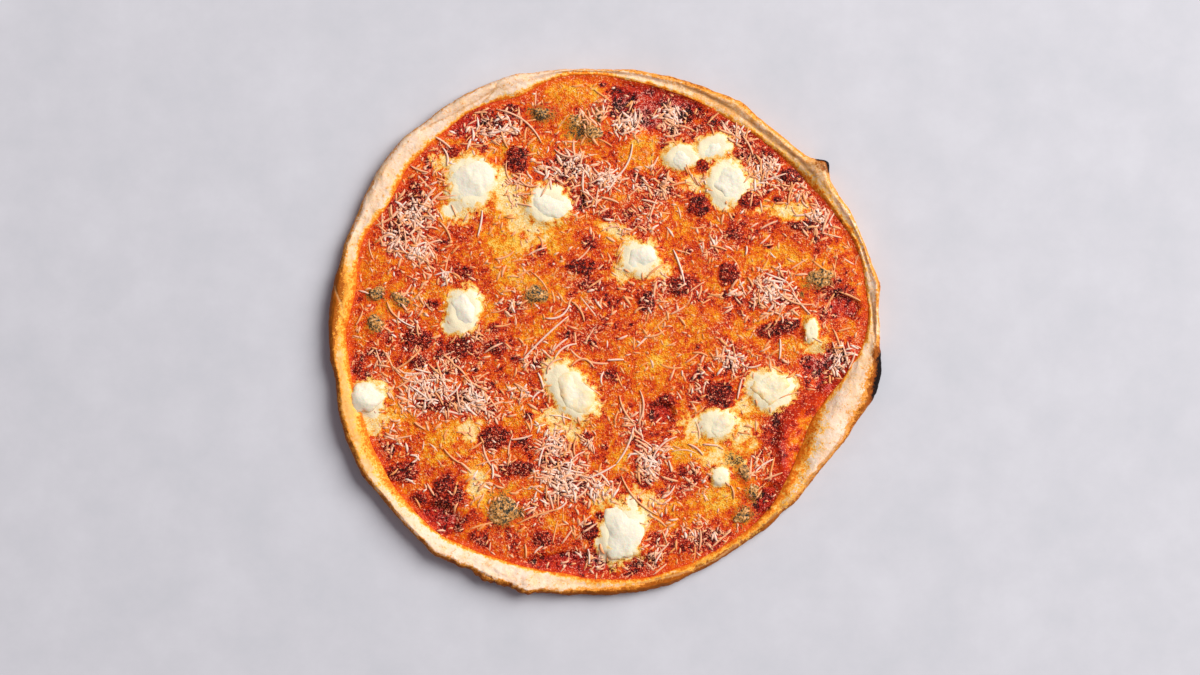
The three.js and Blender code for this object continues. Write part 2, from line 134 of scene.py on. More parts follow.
# Blue cheese crumbs, the same way.
BLUE_CRUMBS: Rows = (
    (-34.5, 118.5, 4.8, 3.8, 0, 3), (-17, 114.5, 5.2, 4.2, 20, 3.1), (-7.5, 108.5, 5, 4, -20, 2.9),
    (-38, 20.5, 7, 5, 10, 3.2), (-124, 21.5, 4.2, 3.2, 0, 3), (-111, 18, 5, 3.4, -40, 3),
    (-125, 5, 4.6, 4.6, 0, 3.1), (-55.5, -95.5, 7.5, 8, 0, 3.3), (74.5, -75, 4.4, 3.8, -50, 3),
    (79, -85, 3.6, 4.4, 0, 3), (73, -98.5, 5, 3.8, 40, 3), (115.5, 29.5, 7.5, 4.6, 25, 3.1),
)

# Where the goat cheese ran out round its lumps and whitened the sheet: centre, half widths, tilt if any.
CREAM_HALOS: Rows = (
    (-73, 81.5, 13, 14.5), (-83, 67, 6, 4, 25), (-31.5, 69, 11.5, 10, 10), (40.5, 95, 9.5, 7),
    (57.5, 100.5, 10.5, 6.5, 25), (65, 81, 11, 11.5), (62, 71, 5, 4.5), (17.5, 40, 10.5, 9.5),
    (-77, 12, 9, 12.5, -15), (-84, 3.5, 4.5, 5), (-129, -36, 11, 9.5, 20), (-19, -31, 17, 9.5, -55),
    (88.5, -31, 12, 11), (60, -49, 11, 8, 5), (8.5, -107.5, 11, 16.5, -18), (14.5, -92, 4, 5),
    (0, -119, 5, 4.5), (110.5, 1, 3.6, 7.5), (61, -77, 5, 5.5, 20),
)

# Where less of it ran and left pale yellow streaks, the same way.
PALE_STREAKS: Rows = (
    (-45, 61, 9, 6, 50), (-38, 56, 9, 6, 60), (77, 84, 5, 4), (75, -38, 8, 5, 15), (48, -52, 8, 6),
    (63, -68, 10, 5, 10), (6, 54, 8, 4, -20), (-126, -48, 7, 6), (-3, -90, 5, 6), (-80, 65, 10, 4),
    (-57, 78, 7, 9), (-49, 71, 6, 9, 20), (-28, -48, 8, 6, -20), (-70, -80, 6, 8), (20, -92, 6, 7),
    (112, -6, 5, 6), (9, 33, 6, 4), (28, 33, 5, 4), (96, 66, 10, 3.5), (48, 82, 6, 4), (74, -54, 6, 6),
    (-74, -53, 6, 5), (-84, 93, 6, 5), (-18, -54, 5, 6),
)

# Where mould and dark grains of the blue cheese spread past its crumbs, the same way.
MOULD_ZONES: Rows = (
    (-35, 118, 8, 6), (-13, 110.5, 12, 9, 20), (-4, 117, 3, 6), (-38, 20.5, 9, 7, 10), (-124, 21.5, 6, 5),
    (-111, 17.5, 6.5, 4.5, -40), (-125, 5, 6, 6), (-56, -95, 9.5, 11), (-47, -97, 4, 5), (69, -69, 6, 5, -30),
    (75, -76, 6, 5, -40), (79, -86, 5, 6), (74.5, -98, 7, 5.5, 40), (115, 29, 10, 6, 25), (105.5, 20.5, 2, 2),
)

# Where oil and cheese pooled yellow, and where the sauce shows red: centre, half widths, weight.
YELLOW_POOLS: Rows = (
    (-18, 130, 16, 9, 0.8), (18, 98, 12, 10, 0.8), (96, 65, 12, 6, 0.9), (-56, 48, 14, 10, 1),
    (-98, 14, 17, 14, 0.6), (92, 40, 15, 8, 0.9), (30, -12, 24, 14, 0.4), (-87, -58, 13, 12, 0.8),
    (62, -88, 11, 9, 1), (-25, -102, 8, 7, 0.7), (-36, -4, 9, 9, 0.7), (-9, 18, 8, 6, 0.7),
    (6, -69, 6, 5, 0.7), (125, 2, 5, 5, 0.5), (-82, 66, 9, 6, 0.7), (-55, 66, 8, 9, 0.8), (47, 6, 12, 9, 0.5),
    (64, 62, 8, 6, 0.4), (-118, 10, 8, 9, 0.5), (-58, 100, 11, 5, 0.7), (-28, 51, 10, 9, 0.8),
    (45, 86, 8, 6, 0.6), (4, 56, 8, 7, 0.8), (95, -8, 14, 5, 0.6), (-17, 112, 12, 8, 0.6),
    (-50, -34, 11, 10, 0.6), (-4, -42, 10, 12, 0.4), (38, -98, 14, 9, 0.8), (-112, -50, 11, 9, 0.6),
    (50, -63, 17, 8, 1), (77, -46, 8, 6, 0.5), (110, 30, 14, 8, 0.5), (-48, 28, 13, 8, 0.6),
    (6, 29, 7, 6, 0.7), (-54, -66, 12, 4, 0.7), (36, 62, 10, 8, 0.3), (-68, -83, 9, 11, 0.9),
    (-46, -84, 9, 6, 0.8), (-110, -33, 8, 8, 0.7), (86, 9, 9, 4, 0.6), (-32, 99, 8, 6, 0.5),
    (-62, 12, 6, 8, 0.5), (-127, 35, 7, 11, 0.4), (73, -62, 7, 6, 0.6), (-2, -90, 6, 7, 0.6),
    (24, 8, 9, 6, 0.5), (48, 80, 7, 5, 0.5), (82, 62, 8, 5, 0.5), (72, 2, 9, 5, 0.5), (10, -12, 8, 8, 0.5),
    (-20, 36, 8, 5, 0.5), (-14, 106, 7, 5, 0.5),
)
RED_ZONES: Rows = (
    (27, 122, 30, 14, 1), (-75, 113, 14, 9, 0.9), (80, 102, 18, 10, 0.8), (122, 18, 13, 16, 0.8),
    (119, -19, 15, 12, 1), (-12, -126, 44, 8, 0.9), (-95, -103, 16, 10, 0.9), (86, -96, 10, 12, 0.8),
    (-16, 71, 7, 7, 0.8), (30, -43, 8, 8, 0.8), (-104, 68, 12, 14, 0.7), (-70, 55, 9, 9, 0.4),
    (-22, 88, 9, 11, 0.8), (36, 78, 12, 10, 0.6), (77, 60, 16, 9, 0.6), (-22, -72, 12, 14, 0.7),
    (-35, -22, 12, 10, 0.5), (-16, 5, 8, 10, 0.5), (-70, -35, 15, 9, 0.6), (-90, -12, 26, 10, 0.5),
    (2, 24, 14, 10, 0.5), (74, 8, 12, 10, 0.4), (-20, -90, 12, 10, 0.5), (93, -62, 7, 24, 0.8),
    (34, -84, 10, 10, 0.5), (-127, -18, 9, 12, 0.7), (55, -114, 24, 7, 0.8), (40, 108, 18, 10, 0.7),
    (48, -24, 10, 7, 0.3), (-52, -62, 14, 10, 0.4), (114, 72, 12, 12, 0.6), (-92, 96, 10, 7, 0.7),
    (-115, 58, 8, 16, 0.5), (-122, -62, 8, 12, 0.4), (-60, -112, 16, 8, 0.5), (10, 62, 10, 8, 0.3),
)

# The fold where the topping slid down the large bubble, the oily slope past it, and how it runs.
FOLD_PATH: Rows = (
    (134, -13), (127.5, -22), (118, -30.5), (109, -37.5), (101, -43.5), (96, -50), (93.5, -59), (94, -68),
    (95.5, -77), (96, -86),
)
OILY_SLOPE: Row = (104, -57, 27, 8.5, 66)

# The longest shreds of parmesan: the two ends and the bow of the middle to the left of the run.
LONG_SHREDS: Rows = (
    (-59.5, 120.5, -35, 102.5, 4), (-88.5, 100, -86, 90, 1.5), (-111, 85, -102, 72, -2),
    (-67, 66, -69.5, 52, 0.5), (14, 102, -1, 80, 4), (-18, 79, -7, 58, -2), (-28, 99, -12, 98, -3.5),
    (-123.5, 50, -111, 46, 5), (-115.5, 44, -95, 37, 2), (-129, -17, -135, -27, 0.5),
    (-100, -8, -115, -20, 1.5), (-101, -21.5, -114, -30, 0.5), (-66, -11, -56, -5.5, 0.5),
    (-45.5, -15, -20.5, 9, 0.8), (-20, 15, -33, 8, 3), (-29, -10, -21, -3, 0.5), (18, -31, 17, -49, 2.5),
    (7, -34, 15, -49, -1.5), (56, 47, 65, 44.5, 0.5), (76, 30, 79, 24.5, 0.5), (92, 23, 112, 15.5, -3),
    (100, 22, 110, 10, -0.5), (100, 37, 120, 29, -0.5), (-121, -82.5, -106, -74, 0.5),
    (-53, -91, -58, -117, 0.5), (-79, -110, -56, -120, 0.5), (14.5, -51, 5, -71, 1.5),
    (5, -71, -10, -78.5, 0.5), (38, -56, 24.5, -69, -2.5), (14.5, -63, 22, -69.5, 0.5),
    (8, -77, 28, -98.5, -3), (-48, -103, -25, -95, 1), (-44, -114, -43.5, -121.5, 0.4),
    (-34.5, -127, -26.5, -125, 0.3), (50.5, -106, 50, -117, 0.6), (33.5, -69, 35, -75, 0.3),
    (36, 45, 42, 27, 0.6), (-37, -21.5, -34, -30, 0.4), (120, -20, 128, -24, 0.6),
)

# More long shreds too fine for the solids, given the same way.
FINE_LONG_SHREDS: Rows = (
    (-93, 106, -84, 99.5, 0.5), (-105.5, 90, -96, 86.5, -0.6), (-93, -31.5, -88, -39, 0.5),
    (-19, 17, -12, 6, 1.6), (-19, -18, -6.5, -19, 4.5), (-32, -22, -24, -14, 2.4),
    (-39, -119, -34.5, -115, 0.4), (-10, -116.5, -9.5, -125, 0.5), (75.5, 47, 75, 42, 0.4),
    (134, -10, 130.5, -19.5, 0.5), (-47, 83, -36, 80, -2.4), (-90, 60, -84, 50, 1), (22, 30, 31, 37, 0.8),
    (-60, 40, -50, 44, -1.2), (44, -60, 52, -66, 1), (-28, -14, -16, -6, 2.2), (-106, -66, -101, -69, 1.2),
    (-105, -70, -101.5, -65.5, -1), (-104.5, -66.5, -102, -66, 0.4),
)

# Where the parmesan fell thickest: centre and radius.
SHRED_DRIFTS: Rows = (
    (12, 113, 8), (35, 117, 7), (-104, 66, 11), (-100, 43, 8), (0, 83, 8), (-18, 90, 8), (-95, -33, 13),
    (-72, -35, 9), (-25, -79, 13), (-28, -60, 9), (-5, -85, 8), (90, 22, 12), (68, -15, 8), (85, 87, 9),
    (114, 61, 8), (125, -14, 8), (70, 112, 8), (24, -70, 9), (-56, 112, 9), (-112, 52, 8),
)

# Where a few more fell, too fine and loose for the solids: centre and radius.
LOOSE_DRIFTS: Rows = (
    (-49, 79, 10), (-62, -42, 8), (19, 83, 9), (-103, 4, 9), (-8, 119, 8), (-60, -65, 8), (50, 80, 7),
    (-46, -33, 8), (6, 56, 7), (23, 63, 9), (39, 27, 8), (-65, -84, 8), (-103, 24, 10), (-14, -101, 7),
    (-29, 86, 8), (24, 19, 8), (-13, -59, 8), (-110, -33, 9), (30, -97, 9), (-40, -13, 10), (-88, 30, 6),
    (-115, -54, 8), (103, 79, 9), (-95, 84, 8), (-70, 108, 8), (58, 48, 8), (14, -52, 9), (-122, -12, 7),
    (46, -108, 8), (-84, -20, 8), (70, 20, 7), (96, 6, 6), (80, -72, 6), (60, -108, 6), (50, -25, 9),
    (-4, -122, 7), (24, -116, 7), (-110, 8, 7), (-116, -3, 6), (-50, 16, 8), (-10, 70, 7), (31, 79, 7),
    (49, -76, 8), (-41, -95, 7), (-35, -34, 7), (-72, -2, 6), (29, 25, 7), (-4, 17, 7), (-34, 86, 7),
)

# Where almost none fell and the sauce or the sheet shows: centre, half widths, tilt if any.
CLEARED_SPOTS: Rows = (
    (113, -11, 10, 10), (98, -50, 12, 16, -30), (28, -38, 9, 9), (-56, 116, 7, 6),
)

SCATTERED_SHREDS = 44
SHRED_TRIES = 12
SHRED_LONGEST = 12.0
SHRED_SHORTEST = 6.5
SHRED_SEED = 20417
RIM_RADIUS = 150.0


# ---- Numbers and noise ----


def smoothstep(value: Array, low: float | Array, high: float | Array) -> Array:
    """Rises smoothly from 0 at low to 1 at high.

    Args:
        value: What is tested.
        low: Where the rise starts.
        high: Where the rise ends.

    Returns:
        Values from 0 to 1.
    """
    t = np.clip((value - low) / (high - low), 0.0, 1.0)
    return t * t * (3.0 - 2.0 * t)


def fade(value: Array, low: float | Array, high: float | Array) -> Array:
    """Falls smoothly from 1 at low to 0 at high."""
    return 1 - smoothstep(value, low, high)


def bell(distance: Array, width: float) -> Array:
    """A soft bump: 1 where the distance is 0 and about a third at the width."""
    return np.exp(-((distance / width) ** 2))


def nearest_bell(x: Array, y: Array, rows: Rows) -> Array:
    """The strongest of several round bumps, each given by its centre and width."""
    return np.maximum.reduce([bell(np.hypot(x - cx, y - cy), width) for cx, cy, width in rows])


def smooth_curve(points: Sequence[Array], t: float | Array) -> Array:
    """The smooth curve through the second and third of four points.

    Args:
        points: The four points.
        t: How far along from the second to the third, from 0 to 1.

    Returns:
        The curve's points.
    """
    before, start, end, after = points
    bend, twist = 2 * before - 5 * start + 4 * end - after, 3 * start - before - 3 * end + after
    return 0.5 * (2 * start + (end - before) * t + bend * t**2 + twist * t**3)


def ellipse_share(x: Array, y: Array, row: Sequence[float]) -> Array:
    """How far points are from the centre of a tilted ellipse, as a share of its radius there.

    Args:
        x, y: Across and up the picture, mm.
        row: Centre, half widths, and the tilt in degrees where it isn't 0.

    Returns:
        0 at the centre and 1 on the edge.
    """
    turn = math.radians(row[4] if len(row) > 4 else 0.0)
    along = (x - row[0]) * math.cos(turn) + (y - row[1]) * math.sin(turn)
    across = (y - row[1]) * math.cos(turn) - (x - row[0]) * math.sin(turn)
    return np.hypot(along / row[2], across / row[3])


def nearest_share(x: Array, y: Array, rows: Rows) -> Array:
    """How far points are from the nearest of several ellipses, as a share of its radius."""
    return np.minimum.reduce([ellipse_share(x, y, row) for row in rows])


def lattice_value(ix: Whole, iy: Whole, seed: int) -> Array:
    """A repeatable random number for each cell of a lattice.

    Args:
        ix, iy: The cells' numbers across and up.
        seed: Which of the patterns.

    Returns:
        Values from 0 to 1.
    """
    mixed = (ix * 374761393 + iy * 668265263 + seed * 1442695041) & 0xFFFFFFFF
    mixed = ((mixed ^ (mixed >> 13)) * 1274126177) & 0xFFFFFFFF
    mixed = ((mixed ^ (mixed >> 16)) * 2246822519) & 0xFFFFFFFF
    return ((mixed ^ (mixed >> 15)) & 0xFFFFFF) / float(0xFFFFFF)


def smooth_noise(x: Array, y: Array, size: float, seed: int) -> Array:
    """Value noise with lumps of one size.

    Args:
        x, y: Across and up the picture, mm.
        size: Width of a lump, mm.
        seed: Which of the patterns.

    Returns:
        Values from -1 to 1.
    """
    u, v = x / size, y / size
    iu, iv = np.floor(u).astype(np.int64), np.floor(v).astype(np.int64)
    fu, fv = u - iu, v - iv
    fu, fv = fu * fu * (3 - 2 * fu), fv * fv * (3 - 2 * fv)
    low = lattice_value(iu, iv, seed) * (1 - fu) + lattice_value(iu + 1, iv, seed) * fu
    high = lattice_value(iu, iv + 1, seed) * (1 - fu) + lattice_value(iu + 1, iv + 1, seed) * fu
    return 2.0 * (low * (1 - fv) + high * fv) - 1.0


def rough_noise(x: Array, y: Array, size: float, seed: int, layers: int = 3) -> Array:
    """Noise with finer layers on top of the first, each half as wide and a little over half as strong.

    Args:
        x, y: Across and up the picture, mm.
        size: Width of the widest lumps, mm.
        seed: Which of the patterns.
        layers: How many layers are added.

    Returns:
        Values from about -1 to 1.
    """
    total = np.zeros(np.broadcast(x, y).shape)
    strength, reach = 1.0, 0.0
    for layer in range(layers):
        turn = 0.6 + 1.1 * layer
        u = x * math.cos(turn) - y * math.sin(turn)
        v = x * math.sin(turn) + y * math.cos(turn)
        total += strength * smooth_noise(u, v, size / 2**layer, seed + 17 * layer)
        reach += strength
        strength *= 0.58
    return total / reach * 1.4


def draws(seed: int) -> Iterator[float]:
    """A repeatable stream of numbers from 0 to 1, the same one that placed the shreds in the solids.

    Args:
        seed: Where the stream starts.

    Yields:
        The next number.
    """
    modulus, multiplier, state = 2**31 - 1, 48271, seed
    while True:
        state = state * multiplier % modulus
        yield state / modulus


def path_distance(x: Array, y: Array, points: Sequence[Sequence[float]]) -> Array:
    """Distance from points to a broken line.

    Args:
        x, y: Across and up the picture, mm.
        points: The line's corners, mm.

    Returns:
        The distances in mm.
    """
    nearest = np.full(np.broadcast(x, y).shape, 1e9)
    for (ax, ay), (bx, by) in zip(points[:-1], points[1:]):
        dx, dy = bx - ax, by - ay
        t = np.clip(((x - ax) * dx + (y - ay) * dy) / (dx * dx + dy * dy), 0.0, 1.0)
        nearest = np.minimum(nearest, np.hypot(x - ax - t * dx, y - ay - t * dy))
    return nearest


# ---- Rim ----


@dataclass
class Rim:
    """The outline of the crust and of the topping in it, in mm and degrees."""

    stations: Rows = RIM_STATIONS
    swells: Rows = RIM_SWELLS

    def at(self, degrees: Array) -> tuple[Array, Array, Array]:
        """Outer radius, topping radius and crest height at angles.

        Args:
            degrees: Angles anticlockwise from +X.

        Returns:
            Three arrays in mm.
        """
        table = np.asarray(self.stations)
        turn = np.mod(degrees, 360.0)
        place = turn / 360.0 * len(table)
        first = np.floor(place).astype(int)
        t = (place - first)[..., None]
        values = smooth_curve([table[(first + shift) % len(table)] for shift in (-1, 0, 1, 2)], t)
        a = np.radians(turn)
        ripple = 0.3 * np.sin(13 * a + 1) + 0.22 * np.sin(29 * a + 2.2) + 0.15 * np.sin(43 * a + 0.6)
        outer, inner, crest = values[..., 0] + ripple, values[..., 1] - 0.8 * ripple, values[..., 2] + ripple
        for at, half, out, up in self.swells:
            swell = bell(np.mod(turn - at + 180.0, 360.0) - 180.0, half)
            outer = outer + out * swell
            crest = crest + up * swell
        return outer, inner, crest

    def inner_at(self, x: Array, y: Array) -> Array:
        """Topping radius at the bearing of points."""
        return self.at(np.degrees(np.arctan2(y, x)))[1]

    def middle(self) -> Array:
        """The middle of the outline's box, which the frame puts over its origin."""
        degrees = np.arange(0.0, 360.0, 2.5)
        outer = self.at(degrees)[0]
        x, y = outer * np.cos(np.radians(degrees)), outer * np.sin(np.radians(degrees))
        return np.array([(x.min() + x.max()) / 2, (y.min() + y.max()) / 2])


RIM = Rim()
MIDDLE = RIM.middle()


# ---- Topping as a field ----


def waves(x: Array, y: Array) -> Array:
    """Slow waves that make the melted sheet uneven, from -1 to 1."""
    return 0.5 * np.sin(x / 7.3 + 1.7 * np.sin(y / 11.1)) + 0.5 * np.sin(y / 6.1 + 1.9 * np.sin(x / 9.7) + 2)


def cheese_amount(x: Array, y: Array) -> Array:
    """How much cheese lies at points.

    Args:
        x, y: Across and up the picture, mm.

    Returns:
        0 or less for none, about 1 for the full sheet.
    """
    amount = 0.86 + 0.14 * waves(x, y)
    for patch in BARE_PATCHES:
        share = ellipse_share(x, y, patch) + 0.12 * waves(y, x)
        amount = amount - 1.25 * fade(share, 0.7, 1.25)
    inner = RIM.inner_at(x, y)
    return amount - 0.35 * smoothstep(np.hypot(x, y), inner - 7, inner)


def soft_spots(x: Array, y: Array, rows: Rows, soft: float) -> Array:
    """Strength of weighted spots with frayed edges.

    Args:
        x, y: Across and up the picture, mm.
        rows: Centre, half widths and weight of each spot.
        soft: How far past the edge a spot fades, as a share of its size.

    Returns:
        The strongest weight that reaches each point, from 0 to 1.
    """
    fray = 0.28 * rough_noise(x, y, 6.0, 301)
    total = np.zeros(np.broadcast(x, y).shape)
    for cx, cy, half_x, half_y, weight in rows:
        share = np.hypot((x - cx) / half_x, (y - cy) / half_y) + fray
        total = np.maximum(total, weight * fade(share, 1 - soft, 1 + soft))
    return total


def ragged_blister(x: Array, y: Array, rows: Rows) -> Array:
    """How far points are inside the nearest blister: below 1 is inside, with a ragged edge."""
    ragged = 0.22 * rough_noise(x, y, 3.4, 77) + 0.12 * smooth_noise(x, y, 1.5, 78)
    return nearest_share(x, y, rows) + ragged


def sheet_top(x: Array, y: Array) -> Array:
    """Height of the melted sheet with its blisters, folds and the skirts round the lumps.

    Args:
        x, y: Across and up the picture, mm.

    Returns:
        The heights in mm.
    """
    noise = partial(rough_noise, x, y)
    top = CHEESE_BOTTOM + CHEESE_RISE * cheese_amount(x, y)
    raised, flat = ragged_blister(x, y, RAISED_BLISTERS), ragged_blister(x, y, FLAT_BLISTERS)
    top = top + (BLISTER_RISE - 0.35) * np.sqrt(np.clip(1 - raised**2, 0, 1))
    top = top + 0.4 * np.sqrt(np.clip(1 - flat**2, 0, 1))
    goat = nearest_share(x, y, GOAT_LUMPS) + 0.1 * noise(4.0, 46)
    top = top + 1.7 * fade(goat, 0.75, 1.6)
    blue = nearest_share(x, y, BLUE_CRUMBS) + 0.15 * noise(3.0, 47)
    top = top + 0.8 * fade(blue, 0.7, 1.5)
    fold = path_distance(x, y, FOLD_PATH) + 0.7 * noise(6.0, 48)
    top = top + 1.1 * bell(fold, 2.2)
    crumple = 0.5 + 0.8 * (np.minimum(raised, flat) < 1) - 0.42 * fade(goat, 1.3, 1.8)
    top = top + 0.16 * noise(5.0, 42) + 0.3 * crumple * noise(1.9, 41, 2)
    inner = RIM.inner_at(x, y)
    edge = smoothstep(np.hypot(x, y), inner - 3.5, inner + 0.6)
    return top * (1 - edge) + (INNER_LIP - 0.1 + 0.3 * noise(3.5, 43)) * edge


def sauce_top(x: Array, y: Array) -> Array:
    """Height of the sauce's surface.

    Args:
        x, y: Across and up the picture, mm.

    Returns:
        The heights in mm.
    """
    inner = RIM.inner_at(x, y)
    rise = 1.0 * smoothstep(np.hypot(x, y), inner - 3.5, inner + 0.3)
    return SAUCE_TOP + rise + 0.3 * rough_noise(x, y, 4.0, 31) + 0.18 * rough_noise(x, y, 1.9, 32, 2)


def drift_share(x: Array, y: Array) -> Array:
    """How near points are to the middle of a drift of parmesan, from 0 to 1."""
    return np.maximum(nearest_bell(x, y, SHRED_DRIFTS), 0.5 * nearest_bell(x, y, LOOSE_DRIFTS))


def topping_layers(x: Array, y: Array) -> dict[str, Array]:
    """What the topping's materials read at each point.

    Args:
        x, y: Across and up the picture, mm.

    Returns:
        tone, from 0 for scorched through red and orange to 1 for pale yellow, with painted shade that darkens
        it along the fold and, in part, between the shreds of the drifts; crumb, the share of fine pink
        crumbs, whose flecks also serve as painted glints; cream, past 0 where the goat cheese ran; mould,
        past 0 where the blue cheese did; calm, 1 where the surface is smooth.
    """
    noise = partial(rough_noise, x, y)
    amount = cheese_amount(x, y)
    inner = RIM.inner_at(x, y)
    radius = np.hypot(x, y)
    edge = smoothstep(radius + 1.6 * noise(5.0, 49), inner - 5.0, inner)
    yellow, red = soft_spots(x, y, YELLOW_POOLS, 0.4), soft_spots(x, y, RED_ZONES, 0.3)
    drift = drift_share(x, y)
    bare = fade(amount, 0.0, 0.55)

    tone = 0.475 + 0.33 * yellow - 0.25 * red - 0.06 * bare
    tone = tone + 0.12 * noise(11.0, 44) + 0.2 * noise(4.6, 50)
    # Darker under the drifts of parmesan: partly the red beneath, partly painted shade between the shreds.
    tone = tone + 0.19 * noise(2.1, 51, 2) - 0.24 * drift
    rim_oil = 0.45 + 0.14 * yellow - 0.12 * red + 0.1 * noise(7.0, 59)
    tone = tone + 0.85 * edge * (rim_oil - tone)
    fold = path_distance(x, y, FOLD_PATH) + 0.9 * noise(5.0, 48)
    oily = fade(ellipse_share(x, y, OILY_SLOPE) + 0.15 * noise(5.0, 52), 0.75, 1.05)
    tone = tone + oily * (0.6 + 0.3 * noise(5.0, 53) + 0.26 * noise(1.9, 65, 2) - tone)
    # Painted shade: along the fold the sheet turns deep red, standing for the shade on its steep edge that
    # turns from the light.
    fold_shade = bell(fold, 4.6)
    tone = tone + (0.2 + 0.12 * noise(4.0, 66) - tone) * 0.92 * fold_shade

    raised, flat = ragged_blister(x, y, RAISED_BLISTERS), ragged_blister(x, y, FLAT_BLISTERS)
    char = np.maximum(fade(raised, 0.8, 1.2), 0.95 * fade(flat, 0.65, 1.3))
    tone = tone * (1 - char) + (0.14 + 0.1 * noise(1.8, 54, 2)) * char

    # Pale pink crumbs of parmesan; their flecks also serve as painted glints on the blisters and the red.
    crumb = 0.22 * red + 0.3 * drift - 0.1 * yellow + 0.3 * noise(3.0, 55)
    crumb = crumb + 0.26 * noise(13.0, 64, 2)
    crumb = crumb * (1 - 0.3 * char) * (1 - 0.7 * oily) * (1 - 0.6 * edge) * (1 - 0.9 * fold_shade)
    fray = 0.24 * noise(6.0, 56) + 0.2 * noise(2.2, 57, 2)
    cream = 1.0 - (nearest_share(x, y, CREAM_HALOS) + fray - 0.86) / 0.34
    cream = np.clip(np.where(char > 0.6, cream - 1.2, cream), -1, 1.6)
    calm = np.maximum.reduce([smoothstep(cream, -0.1, 0.7), 0.5 * oily, 0.8 * fold_shade, 0.55 * edge])
    streaks = 1.0 - (nearest_share(x, y, PALE_STREAKS) + 2.8 * fray - 0.3) / 0.8
    paler = smoothstep(streaks, -0.7, 0.4) * (1 - char)
    tone = tone + 0.7 * paler * np.maximum(0.8 - tone, 0)
    calm = np.maximum(calm, 0.6 * paler)
    cream = np.maximum(cream, np.clip(streaks - 1.2 * char, -1, 0.6))
    mould = 1.0 - (nearest_share(x, y, MOULD_ZONES) + 0.35 * noise(3.0, 58) - 0.4) / 0.7
    crumb, mould = np.clip(crumb, 0, 1), np.clip(mould, -1, 1.5)
    return {"tone": tone, "crumb": crumb, "cream": cream, "mould": mould, "calm": calm}


# ---- Meshes ----


def place_object(name: str, data: bpy.types.ID) -> Object:
    """Makes an object and links it to the scene.

    Args:
        name: Its name.
        data: The mesh, camera or light that it shows.

    Returns:
        The new object.
    """
    placed = bpy.data.objects.new(name, data)
    bpy.context.scene.collection.objects.link(placed)
    return placed


def build_piece(name: str, points: Array, faces: Sequence[Whole], layers: dict[str, Array]) -> Object:
    """Makes a smooth mesh object from arrays.

    Args:
        name: The piece's name.
        points: Vertices in mm, in the drawing's own frame.
        faces: Blocks of faces with the same number of corners each.
        layers: One number a vertex, by name, for the material to read.

    Returns:
        The new object.
    """
    mesh = bpy.data.meshes.new(name)
    placed = (points - np.array([MIDDLE[0], MIDDLE[1], 0.0])) * MM
    placed = np.clip(placed, *(np.asarray(corner) for corner in CAD_BOX))
    mesh.vertices.add(len(placed))
    mesh.vertices.foreach_set("co", placed.astype(np.float32).ravel())
    corners = np.concatenate([np.asarray(block).ravel() for block in faces])
    totals = np.concatenate([np.full(len(block), np.asarray(block).shape[1]) for block in faces])
    mesh.loops.add(len(corners))
    mesh.loops.foreach_set("vertex_index", corners.astype(np.int32))
    mesh.polygons.add(len(totals))
    mesh.polygons.foreach_set("loop_start", np.concatenate([[0], np.cumsum(totals)[:-1]]).astype(np.int32))
    mesh.polygons.foreach_set("loop_total", totals.astype(np.int32))
    for layer, values in layers.items():
        attribute = mesh.attributes.new(layer, "FLOAT", "POINT")
        attribute.data.foreach_set("value", np.asarray(values, dtype=np.float32))
    mesh.update(calc_edges=True)
    mesh.validate()
    mesh.polygons.foreach_set("use_smooth", np.ones(len(mesh.polygons), dtype=bool))
    return place_object(name, mesh)


def ring_faces(rings: int, around: int) -> Whole:
    """Quads between closed rings of vertices that are stored one ring after another.

    Args:
        rings: How many rings.
        around: Vertices in a ring.

    Returns:
        The corners of each quad.
    """
    ring, step = np.meshgrid(np.arange(rings - 1), np.arange(around), indexing="ij")
    here, after = ring * around + step, ring * around + (step + 1) % around
    quads = np.stack([here, after, after + around, here + around], axis=-1)
    return quads.reshape(-1, 4)


